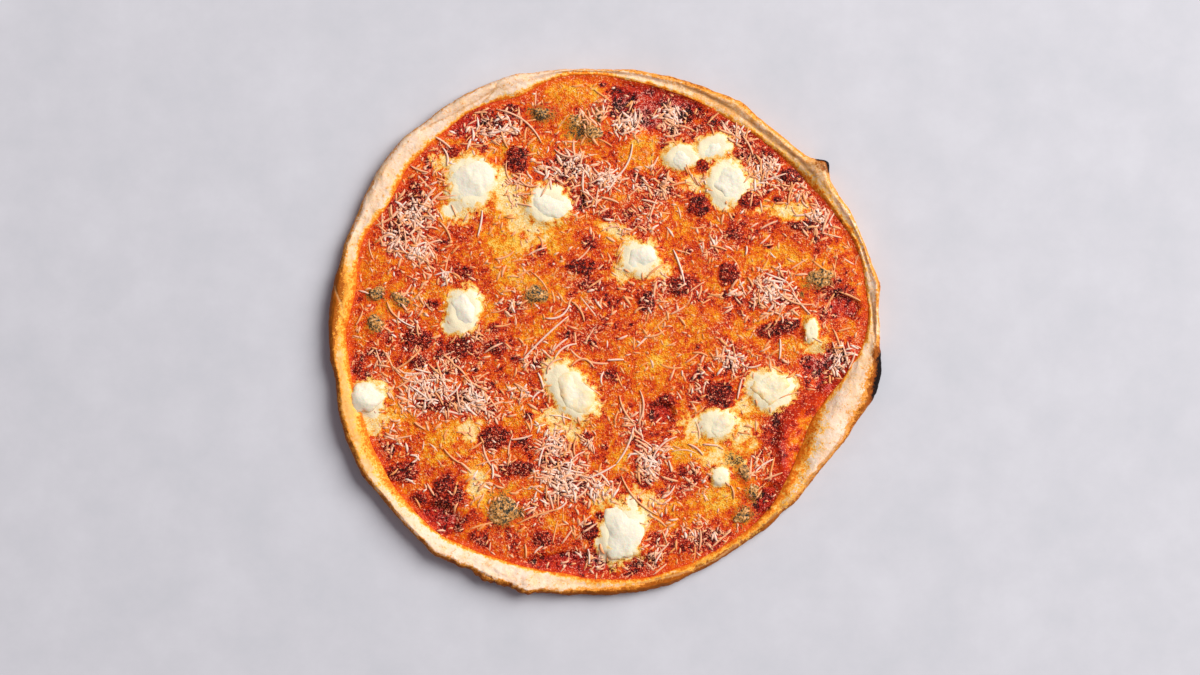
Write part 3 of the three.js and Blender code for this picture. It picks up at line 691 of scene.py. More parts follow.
@dataclass
class DiscGrid:
    """A square mesh of points cut to the topping's outline, with a wall down to a flat underside."""

    step: float
    reach: float  # how far past the topping radius it goes, mm
    quads: Whole = field(init=False)
    x: Array = field(init=False)
    y: Array = field(init=False)
    edge: Whole = field(init=False)

    def __post_init__(self) -> None:
        """Lays out the points, the quads and the loop of points round the edge."""
        side = 144.0
        line = np.arange(-side, side + self.step, self.step)
        gx, gy = np.meshgrid(line, line, indexing="ij")
        radius, limit = np.hypot(gx, gy), RIM.inner_at(gx, gy) + self.reach
        inside = radius < limit + 0.45 * self.step
        whole = inside[:-1, :-1] & inside[1:, :-1] & inside[1:, 1:] & inside[:-1, 1:]
        number = np.arange(gx.size).reshape(gx.shape)
        quads = np.stack([number[:-1, :-1], number[1:, :-1], number[1:, 1:], number[:-1, 1:]], axis=-1)[whole]
        used, quads = np.unique(quads, return_inverse=True)
        self.quads = quads.reshape(-1, 4)
        x, y = gx.ravel()[used], gy.ravel()[used]
        pairs = np.concatenate([self.quads[:, [k, (k + 1) % 4]] for k in range(4)])
        key = pairs.min(axis=1) * len(used) + pairs.max(axis=1)
        _, first, count = np.unique(key, return_index=True, return_counts=True)
        following = dict(pairs[first[count == 1]].tolist())
        start = int(next(iter(following)))
        loop = [start]
        while following[loop[-1]] != start:
            loop.append(following[loop[-1]])
        self.edge = np.asarray(loop)
        scale = np.ones(len(x))
        rim_limit = RIM.inner_at(x[self.edge], y[self.edge]) + self.reach
        scale[self.edge] = rim_limit / np.hypot(x[self.edge], y[self.edge])
        self.x, self.y = x * scale, y * scale

    def closed(self, top: Array, bottom: float) -> tuple[Array, list[Whole]]:
        """Points and faces of the closed layer.

        Args:
            top: Height of each point of the grid, mm.
            bottom: Height of the flat underside, mm.

        Returns:
            The points, and the blocks of faces.
        """
        count, ring = len(self.x), len(self.edge)
        points = np.column_stack([self.x, self.y, top])
        under = np.column_stack([self.x[self.edge], self.y[self.edge], np.full(ring, bottom)])
        down = np.arange(ring) + count
        wall = np.stack([np.roll(self.edge, -1), self.edge, down, np.roll(down, -1)], axis=-1)
        return np.vstack([points, under]), [self.quads, wall, down[::-1][None, :]]

    def layers(self) -> dict[str, Array]:
        """The topping's layers at the grid's points and again at the lower edge."""
        made = topping_layers(self.x, self.y)
        return {key: np.concatenate([value, value[self.edge]]) for key, value in made.items()}


# ---- Materials ----


def linear(code: str) -> tuple[float, float, float, float]:
    """Turns an sRGB hex colour to linear light.

    Args:
        code: Six hex digits.

    Returns:
        Red, green, blue and alpha.
    """
    shades = []
    for k in (0, 2, 4):
        value = int(code[k : k + 2], 16) / 255
        shades.append(value / 12.92 if value <= 0.04045 else ((value + 0.055) / 1.055) ** 2.4)
    return shades[0], shades[1], shades[2], 1.0


def per_metre(size_mm: float) -> float:
    """Texture scale that makes a pattern's parts about this many mm wide."""
    return 1000.0 / size_mm


def fill_sockets(tree: Tree, node: bpy.types.Node, inputs: dict[int | str, Any]) -> None:
    """Links or sets the inputs of a node.

    Args:
        tree: The tree it is in.
        node: The node.
        inputs: Value, linked socket or hex colour of each input, by name or number.
    """
    for key, value in inputs.items():
        if isinstance(value, Socket):
            tree.links.new(value, node.inputs[key])
        else:
            node.inputs[key].default_value = linear(value) if isinstance(value, str) else value


def add_node(
    tree: Tree,
    kind: str,
    inputs: dict[int | str, Any] | None = None,
    settings: dict[str, Any] | None = None,
    out: int | str = 0,
) -> Socket:
    """Adds a node with its settings and links.

    Args:
        tree: The material's tree.
        kind: Type of the node, without the words ShaderNode.
        inputs: Value, linked socket or hex colour of each input, by name or number.
        settings: Properties of the node; "stops" holds a colour ramp as (place, hex colour).
        out: Which output is wanted.

    Returns:
        That output.
    """
    node = tree.nodes.new("ShaderNode" + kind)
    for key, value in (settings or {}).items():
        if key == "stops":
            stops = node.color_ramp.elements
            while len(stops) < len(value):
                stops.new(0.5)
            for stop, (place, code) in zip(stops, value):
                stop.position = place
                stop.color = linear(code)
        else:
            setattr(node, key, value)
    fill_sockets(tree, node, inputs or {})
    return node.outputs[out]


def start_material(name: str) -> tuple[bpy.types.Material, bpy.types.Node, Socket]:
    """Starts a material.

    Args:
        name: The material's name.

    Returns:
        The material, its shader, and the place on the object in metres.
    """
    material = bpy.data.materials.new(name)
    material.use_nodes = True
    shader = next(node for node in material.node_tree.nodes if node.type == "BSDF_PRINCIPLED")
    return material, shader, add_node(material.node_tree, "TexCoord", out="Object")


@dataclass(frozen=True)
class Coat:
    """One colour laid over what is under it, where a mesh layer plus its share of grain passes two limits."""

    layer: str
    low: float
    high: float
    colour: str
    strength: float = 1.0
    grain: float = 0.5


@dataclass(frozen=True)
class Finish:
    """A food surface: patterns of three sizes, a base colour, coats over it, and fine relief."""

    name: str
    sizes: tuple[float, float, float]  # mm across a blotch, a grain and the finest grain
    depths: tuple[float, float, float]  # mm of relief that each gives
    base_layer: str
    base_grain: tuple[float, float]  # how far the grain and the finest grain move the base colour
    stops: tuple[tuple[float, str], ...]
    coats: tuple[Coat, ...] = ()
    roughness: tuple[float, float] = (0.5, 0.5)
    specular: float = 0.35
    subsurface: float = 0.0
    subsurface_mm: float = 3.0
    smooth_layer: str = ""  # where this mesh layer rises to 1 the grain and the relief fade

    def make(self) -> bpy.types.Material:
        """Builds the material."""
        material, shader, place = start_material(self.name)
        add = partial(add_node, material.node_tree)
        multiply_add = {"operation": "MULTIPLY_ADD"}
        patterns = [
            add("TexNoise", {"Vector": place, "Scale": per_metre(size), "Detail": 3.0, "Roughness": 0.6})
            for size in self.sizes
        ]
        blotch, grain, fine = (add("Math", {0: each, 1: 0.5}, {"operation": "SUBTRACT"}) for each in patterns)
        strength: float | Socket = 1.0
        if self.smooth_layer:
            flat = add("Attribute", None, {"attribute_name": self.smooth_layer}, out="Fac")
            strength = add("MapRange", {"Value": flat, "To Min": 1.0, "To Max": 0.2})
        value = add("Attribute", None, {"attribute_name": self.base_layer}, out="Fac")
        for pattern, share in zip((grain, fine), self.base_grain):
            moved = add("Math", {0: pattern, 1: strength}, {"operation": "MULTIPLY"})
            value = add("Math", {0: moved, 1: share, 2: value}, multiply_add)
        colour = add("ValToRGB", {"Fac": value}, {"stops": self.stops})
        for coat in self.coats:
            mask = add("Attribute", None, {"attribute_name": coat.layer}, out="Fac")
            for pattern in (grain, fine):
                mask = add("Math", {0: pattern, 1: coat.grain, 2: mask}, multiply_add)
            limits = {"Value": mask, "From Min": coat.low, "From Max": coat.high, "To Max": coat.strength}
            share = add("MapRange", limits, {"interpolation_type": "SMOOTHSTEP"})
            colour = add("Mix", {0: share, 6: colour, 7: coat.colour}, {"data_type": "RGBA"}, out=2)
        shading = {"Value": fine, "From Min": -0.2, "From Max": 0.2}
        shading |= {"To Min": self.roughness[0], "To Max": self.roughness[1]}
        surface = {"Base Color": colour, "Roughness": add("MapRange", shading)}
        for pattern, depth in zip((blotch, grain, fine), self.depths):
            relief = {"Height": pattern, "Distance": depth * MM, "Strength": strength}
            if "Normal" in surface:
                relief["Normal"] = surface["Normal"]
            surface["Normal"] = add("Bump", relief)
        surface |= {"Specular IOR Level": self.specular, "Subsurface Weight": self.subsurface}
        surface |= {"Subsurface Scale": self.subsurface_mm * MM}
        fill_sockets(material.node_tree, shader, surface)
        return material


# Wheat dough baked hard on the outside: matt and floury, cream to golden, brown and black where it caught,
# orange where oil crept up it, and brown in its furrows, partly its own browning and partly painted shade.
BAKED_DOUGH = Finish(
    name="baked_wheat_dough",
    sizes=(6.0, 2.2, 0.9),
    depths=(0.3, 0.35, 0.15),
    base_layer="warmth",
    base_grain=(0.7, 0.5),
    stops=((0.0, "F0DAC6"), (0.3, "F4D4B6"), (0.65, "F4C692"), (1.0, "F0B062")),
    coats=(
        Coat("tan", 0.2, 1.0, "DA923E", 0.95, 1.0),
        Coat("toast", 0.1, 0.5, "E8942E", 0.95, 1.4),
        Coat("toast", 0.6, 1.0, "A05008", 0.95, 1.6),
        # Brown in the furrows: partly the dough's own browning, partly painted shade lying in them.
        Coat("crease", 0.2, 1.1, "D29A62", 0.75, 1.0),
        Coat("stain", 0.1, 0.45, "FFC45A", 0.9, 1.6),
        Coat("stain", 0.4, 0.7, "FA9A26", 0.94, 1.8),
        Coat("stain", 0.7, 1.0, "E06810", 0.92, 2.0),
        Coat("char", 0.1, 0.45, "94480E", 0.92, 0.5),
        Coat("char", 0.5, 0.8, "120706", 1.0, 0.5),
    ),
    roughness=(0.8, 0.6),
    specular=0.12,
    subsurface=0.1,
)

# Crushed tomato baked until it is thick: wet and deep red, with orange oil and pale pulp in it, and pink
# crumb flecks that also serve as painted glints.
TOMATO_SAUCE = Finish(
    name="baked_tomato_sauce",
    sizes=(4.0, 1.5, 0.75),
    depths=(0.4, 0.7, 0.45),
    base_layer="tone",
    base_grain=(0.8, 0.6),
    stops=(
        (0.0, "2A0302"), (0.12, "84120A"), (0.26, "C02416"), (0.42, "D63C18"), (0.56, "E2541C"),
        (0.75, "E67A2C"),
    ),
    # Pink crumb flecks, partly painted glints.
    coats=(Coat("crumb", 0.55, 0.95, "EDA692", 0.85, 2.6), Coat("cream", 0.3, 0.9, "F4DCA8", 0.9, 1.2)),
    roughness=(0.34, 0.12),
    specular=0.18,
)

# Mozzarella melted into the sauce under a hot grill: glossy with oil, yellow to deep orange, red where it is
# thin, blistered maroon; cream where goat cheese ran into it and olive where blue cheese did.
MELTED_MOZZARELLA = Finish(
    name="oven_melted_mozzarella",
    sizes=(4.5, 1.5, 0.75),
    depths=(0.3, 0.7, 0.45),
    smooth_layer="calm",
    base_layer="tone",
    base_grain=(0.85, 0.7),
    stops=(
        (0.0, "260200"), (0.12, "620B02"), (0.24, "B4220A"), (0.36, "D63C0A"), (0.48, "E45204"),
        (0.6, "EE7006"), (0.74, "F88E0C"), (0.88, "FDAA20"), (1.0, "FFC850"),
    ),
    coats=(
        # Pink crumb flecks, partly painted glints.
        Coat("crumb", 0.55, 0.85, "F6B088", 0.9, 2.9),
        Coat("cream", -0.25, 0.3, "FCBE4C", 0.85, 1.2),
        Coat("cream", 0.15, 0.7, "FCD890", 0.97, 1.2),
        Coat("cream", 0.55, 1.05, "F8EAC6", 0.97, 1.0),
        Coat("mould", 0.2, 0.8, "CF9036", 0.6, 2.2),
        Coat("mould", 0.7, 1.0, "8A6430", 0.8, 3.0),
        Coat("mould", 1.05, 1.3, "241F18", 0.9, 3.0),
    ),
    roughness=(0.4, 0.12),
    specular=0.18,
    subsurface=0.05,
)

# Hard aged cheese grated fine: dry slivers, pale pink where they lie on red, peach where they took up oil.
GRATED_PARMESAN = Finish(
    name="grated_parmesan",
    sizes=(3.0, 1.2, 0.8),
    depths=(0.0, 0.1, 0.05),
    base_layer="tone",
    base_grain=(0.4, 0.2),
    stops=((0.0, "F29A54"), (0.35, "F7A870"), (0.7, "F8BC9A"), (1.0, "FCDAC8")),
    roughness=(0.5, 0.35),
    specular=0.35,
    subsurface=0.08,
    subsurface_mm=1.5,
)

# Fresh goat cheese warmed through: soft, chalk white and matt, cream yellow where it began to melt.
GOAT_CHEESE = Finish(
    name="fresh_goat_cheese",
    sizes=(4.0, 2.0, 0.9),
    depths=(0.2, 0.15, 0.05),
    base_layer="melt",
    base_grain=(0.8, 0.3),
    stops=((0.0, "F0E8D2"), (0.4, "F3E5C4"), (0.75, "F7DDAC"), (1.0, "F8D08C")),
    roughness=(0.6, 0.5),
    specular=0.2,
    subsurface=0.2,
)

# Blue veined cheese that browned on top: olive and cream grains with near black veins, oily between them.
BLUE_CHEESE = Finish(
    name="blue_veined_cheese",
    sizes=(3.0, 1.4, 0.8),
    depths=(0.4, 0.6, 0.3),
    base_layer="vein",
    base_grain=(1.9, 1.5),
    stops=(
        (0.1, "15130F"), (0.28, "3A362A"), (0.4, "6A5C40"), (0.5, "A4743C"), (0.64, "D68A3C"),
        (0.8, "E0A45C"), (0.98, "F0D4A8"),
    ),
    roughness=(0.5, 0.25),
    specular=0.25,
)


def dress(piece: Object, finish: Finish, slot: str, *nodes: str) -> None:
    """Gives a piece its material and body, and hides the solids that it stands for.

    Args:
        piece: The object.
        finish: Its surface; pieces of one finish share a material.
        slot: Not used.
        nodes: Solids that it replaces.
    """
    piece.data.materials.append(bpy.data.materials.get(finish.name) or finish.make())
    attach(piece, "root")
    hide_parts(*nodes)
    LOG.info("%s: %d vertices, %d faces", piece.name, len(piece.data.vertices), len(piece.data.polygons))


# ---- Crust ----


@dataclass
class Crust:
    """The baked dough: rim, inner slope, recess under the topping and underside."""

    around: int = 1200
    pieces: tuple[int, ...] = (1, 3, 4, 4, 5, 5, 6, 7, 8, 8, 2, 1)  # rings between the corners of the section
    # By angle: how warm the dough is, how tan, width in mm and darkness of its toasted edge, and how far oil
    # crept up it in mm.
    look: Rows = (
        (0, 0.5, 0.15, 2.2, 0.5, 1.6), (10, 0.5, 0.35, 3.5, 0.8, 1.6), (14, 0.45, 0.3, 3.5, 0.7, 2.0),
        (22, 0.5, 0.3, 2.0, 0.5, 3.0), (35, 0.7, 0.6, 3.0, 0.7, 5.0), (45, 0.65, 0.5, 2.5, 0.65, 2.5),
        (60, 0.6, 0.52, 3.5, 0.8, 2.0), (70, 0.55, 0.48, 4.5, 0.9, 1.8), (85, 0.5, 0.2, 2.5, 0.6, 1.6),
        (98, 0.35, 0.0, 1.5, 0.4, 2.5), (112, 0.35, 0.0, 1.5, 0.4, 3.0), (120, 0.35, 0.0, 1.8, 0.5, 1.2),
        (145, 0.4, 0.0, 1.5, 0.5, 2.6), (158, 0.4, 0.05, 2.2, 0.6, 3.0), (165, 0.7, 0.3, 5.0, 0.9, 4.0),
        (170, 1.1, 0.7, 13.0, 1.35, 5.5), (177, 1.1, 0.65, 12.0, 1.3, 5.5), (184, 0.9, 0.2, 5.0, 1.1, 3.0),
        (195, 1.1, 0.1, 4.5, 1.1, 4.0), (205, 1.0, 0.1, 4.5, 1.0, 6.5), (214, 0.5, 0.0, 3.2, 1.0, 5.0),
        (225, 0.35, 0.05, 2.6, 1.0, 2.0), (240, 0.3, 0.2, 4.0, 1.05, 1.8), (255, 0.4, 0.1, 3.4, 1.15, 2.0),
        (268, 0.6, 0.15, 5.2, 1.3, 2.4), (285, 0.8, 0.45, 7.0, 1.3, 3.0), (300, 0.85, 0.65, 8.2, 1.35, 3.2),
        (312, 0.6, 0.5, 7.8, 1.25, 4.5), (322, 0.35, 0.05, 4.0, 0.9, 9.0), (335, 0.3, 0.0, 3.0, 0.8, 8.0),
        (342, 0.35, 0.1, 6.5, 1.0, 3.0), (350, 0.45, 0.2, 10.0, 1.3, 2.0), (356, 0.5, 0.2, 5.5, 1.0, 1.6),
    )
    # Furrows in the dough: path, depth and width in mm.
    furrows: tuple[tuple[tuple[tuple[float, float], ...], float, float], ...] = (
        (((112, 84), (103, 93.5), (90, 103), (68, 120), (52, 129), (38, 134.5)), 0.45, 1.1),
        (((-59, 135), (-61, 130), (-67, 124)), 0.7, 0.45),
        (((-100, 109), (-93, 113), (-84, 117), (-70, 125), (-59, 132)), 0.6, 0.8),
        (((-40, 141), (-20, 142.5), (0, 142)), 0.4, 0.5),
        (((-143.5, 8.5), (-140, 1), (-139, -5.7)), 0.9, 1.0),
        (((-147, 25), (-143, 16), (-141.5, 9)), 0.5, 0.8),
        (((134, -35), (137, -37.5), (140, -37)), 0.4, 0.5),
        (((142, 21), (143.5, 12), (144.5, 0), (145, -8)), 0.7, 0.9),
        (((116, 89), (121, 82), (124, 76)), 0.6, 0.9),
        (((62, -120.5), (80, -107), (97, -93), (109, -80), (120, -66), (131, -50)), 0.8, 0.9),
        (((-128, -55), (-118, -76), (-104, -95)), 0.35, 0.8),
        (((20, -134.5), (44, -129), (62, -121)), 0.4, 0.7),
    )

    crumbly_bearing: float = 246.0  # the torn stretch at the lower left, in degrees
    torn_bearing: float = 243.0
    scorched_bearing: float = 351.0
    blister_tip: tuple[float, float] = (117.5, 91.5)
    char_spots: Rows = (  # centre and size
        (-150.5, 24, 2.6), (-147, 33, 2), (87.5, -94.5, 1.4), (126, 60, 1.3), (-131, -78, 1.4),
    )

    def section(self, degrees: Array) -> Array:
        """Corners of the section at angles, from the middle of the underside to the middle of the top.

        Args:
            degrees: Angles anticlockwise from +X.

        Returns:
            Radius and height in mm, by corner and angle.
        """
        outer, inner, crest = RIM.at(degrees)
        width = outer - inner
        plump = smoothstep(width, 14.0, 20.0)
        crest = crest - 0.6 * (1 - plump)
        shoulder = INNER_LIP + (crest - INNER_LIP) * (0.42 + 0.2 * plump)
        zero = np.zeros_like(outer)
        radii = [
            zero, outer - 9, outer - 3.4, outer - 0.7, outer, outer - 0.4 - 0.06 * width,
            outer - 0.5 - 0.17 * width, outer - 0.34 * width, outer - 0.58 * width,
            outer - 0.82 * width, inner, inner, zero,
        ]
        heights = [
            zero, zero, zero + 1, zero + 3.2, 0.52 * crest, crest - 1.7 - 0.9 * plump,
            crest - 0.4 - 0.8 * plump, crest - 0.3 * plump, crest - 1 + plump,
            shoulder, zero + INNER_LIP, zero + DOUGH_TOP, zero + DOUGH_TOP,
        ]
        return np.stack([np.stack(radii), np.stack(heights)], axis=-1)

    def rings(self, degrees: Array) -> Array:
        """Points of the fine section, rounded over the rim and straight elsewhere.

        Args:
            degrees: Angles anticlockwise from +X.

        Returns:
            Radius and height in mm, by ring and angle.
        """
        corners = self.section(degrees)
        last = len(corners) - 1
        rows = []
        for k, count in enumerate(self.pieces):
            near = [corners[min(max(k + shift, 0), last)] for shift in (-1, 0, 1, 2)]
            start, end = near[1:3]
            rounded = 2 <= k <= 8
            for n in range(count):
                t = n / count
                rows.append(smooth_curve(near, t) if rounded else start + (end - start) * t)
        rows.append(corners[last])
        return np.stack(rows)

    def build(self) -> Object:
        """Builds the crust as one closed mesh."""
        turn = np.arange(self.around) * 360.0 / self.around
        table = self.rings(turn)
        radius, height = table[..., 0], table[..., 1]
        degrees = np.broadcast_to(turn, radius.shape)
        bearing = np.radians(degrees)
        x, y = radius * np.cos(bearing), radius * np.sin(bearing)
        outer, inner, _ = RIM.at(turn)
        depth, slope = outer - radius, radius - inner
        on_top = smoothstep(height, 4.5, 7.5) * smoothstep(slope, -0.5, 1.5)
        along = bearing * RIM_RADIUS

        crumbly = bell(degrees - self.crumbly_bearing, 14.0)
        lumpy = 0.38 * rough_noise(along, depth * 1.6, 7.0, 5)
        lumpy = lumpy + 0.16 * rough_noise(along, depth * 2.5, 2.4, 6)
        lumpy = lumpy + crumbly * 0.45 * rough_noise(x, y, 2.6, 8)
        furrow, cut = np.zeros_like(x), np.zeros_like(x)
        for points, deep, wide in self.furrows:
            groove = bell(path_distance(x, y, points), wide)
            furrow = np.maximum(furrow, groove)
            cut = np.maximum(cut, groove * deep)
        height = height + on_top * (lumpy - 0.9 * cut)
        side = smoothstep(depth, 6.0, 0.0) * smoothstep(height, 0.6, 3.0)
        ragged = -0.25 + 0.35 * rough_noise(along, height, 3.5, 11)
        ragged = ragged + crumbly * (0.9 * rough_noise(x, y, 2.4, 12) + 1.1 * rough_noise(x, y, 7.0, 13))
        radius = radius + side * ragged
        x, y = radius * np.cos(bearing), radius * np.sin(bearing)

        layers = self.browning(x, y, degrees, depth, slope, height)
        # Painted shade: the furrows, and a faint spread of noise, are coloured brown, partly the dough's own
        # browning and partly the shade that lies in them.
        layers["crease"] = furrow * on_top + 0.25 * rough_noise(along, depth * 4, 9.0, 14) * on_top
        rings = len(table)
        inside = slice(1, rings - 1)
        points = np.column_stack([x[inside].ravel(), y[inside].ravel(), height[inside].ravel()])
        points = np.vstack([points, [[0, 0, 0], [0, 0, DOUGH_TOP]]])
        count = len(points) - 2
        here = np.arange(self.around)
        following = (here + 1) % self.around
        under = np.stack([following, here, np.full_like(here, count)], axis=-1)
        last_ring = (rings - 3) * self.around
        over = np.stack([here + last_ring, following + last_ring, np.full_like(here, count + 1)], axis=-1)
        faces = [ring_faces(rings - 2, self.around), under, over]
        data = {key: np.concatenate([value[inside].ravel(), [0.0, 0.0]]) for key, value in layers.items()}
        return build_piece("baked_crust", points, faces, data)

    def browning(
        self, x: Array, y: Array, degrees: Array, depth: Array, slope: Array, height: Array
    ) -> dict[str, Array]:
        """Where the crust is warm, tan, toasted, charred and stained with oil.

        Args:
            x, y: Across and up the picture, mm.
            degrees: Bearing of each point.
            depth: Distance in from the outer edge, mm.
            slope: Distance out from the topping, mm.
            height: Height, mm.

        Returns:
            One array for each layer that the dough's material reads.
        """
        noise = partial(rough_noise, x, y)
        table = np.asarray(self.look)
        warmth, tan, wide, dark, oiled = (
            np.interp(degrees, table[:, 0], table[:, k], period=360.0) for k in range(1, table.shape[1])
        )
        blotch, speck = noise(6.0, 21), noise(2.2, 22)
        toast = dark * fade(depth + 0.9 * blotch + 0.5 * speck, 0.15 * wide, 1.25 * wide)
        toast = np.maximum(toast, 0.7 * fade(height, 1.0, 4.0) * (0.3 + dark))
        tan = tan + 0.25 * blotch
        warmth = warmth + 0.22 * blotch

        creep = 0.5 * rough_noise(degrees * 2.6, slope * 0.5, 9.0, 23) + 0.35 * noise(3.6, 25)
        reach = oiled * (1 + creep) + 0.5 * blotch
        stain = np.where(slope < 0, 1.3, 1.1 - slope / np.maximum(reach, 0.5))
        tip = np.hypot(x - self.blister_tip[0], y - self.blister_tip[1]) + speck
        char = 0.34 * fade(tip, 4.2, 6.6)
        char = char + 0.7 * fade(tip, 4.5, 7.0) * fade(depth + 0.6 * speck, 0.9, 2.6)
        band = np.exp(-(((degrees - self.scorched_bearing) / 6.0) ** 4))
        char = np.maximum(char, 1.1 * band * fade(depth + 1.3 * speck, 0.0, 8.0))
        torn = bell(degrees - self.torn_bearing, 13.0) * fade(depth, 1.5, 5.0)
        char = np.maximum(char, 0.75 * torn * smoothstep(noise(2.6, 24), 0.2, 0.7))
        char = np.maximum(char, 0.75 * nearest_bell(x, y, self.char_spots))
        return {"warmth": warmth, "tan": tan, "toast": toast, "stain": stain, "char": char}

    def make(self) -> None:
        """Builds and dresses the crust."""
        dress(self.build(), BAKED_DOUGH, "crust", "crust")


# ---- Sauce and melted sheet ----


@dataclass
class SauceLayer:
    """The tomato sauce, which shows where the cheese left it bare."""

    grid_step: float = 1.0
    reach: float = 0.5
    bottom: float = DOUGH_TOP + GAP

    def make(self) -> None:
        """Builds and dresses the layer."""
        grid = DiscGrid(self.grid_step, self.reach)
        points, faces = grid.closed(sauce_top(grid.x, grid.y), self.bottom)
        piece = build_piece("tomato_sauce_layer", points, faces, grid.layers())
        dress(piece, TOMATO_SAUCE, "tomato_sauce", "tomato_sauce")


@dataclass
class MeltedSheet:
    """The melted mozzarella with its blisters and what ran into it from the other cheeses."""

    grid_step: float = 0.8
    reach: float = 0.7
    bottom: float = CHEESE_BOTTOM - 0.9

    def make(self) -> None:
        """Builds and dresses the sheet."""
        grid = DiscGrid(self.grid_step, self.reach)
        points, faces = grid.closed(sheet_top(grid.x, grid.y), self.bottom)
        piece = build_piece("melted_mozzarella_sheet", points, faces, grid.layers())
        dress(piece, MELTED_MOZZARELLA, "melted_mozzarella", "melted_mozzarella")


# ---- Parmesan ----


class Cut(Enum):
    """The sizes that the grater left.

    Number, shortest, longest, width and thickness in mm, chance outside the drifts, points along.
    """

    CRUMB = (3300, 1.4, 3.4, 1.3, 0.5, 0.035, 3)
    SHORT = (1250, 3.2, 7.0, 1.35, 0.55, 0.03, 4)
    LONG = (280, 7.0, 14.0, 1.15, 0.5, 0.045, 7)


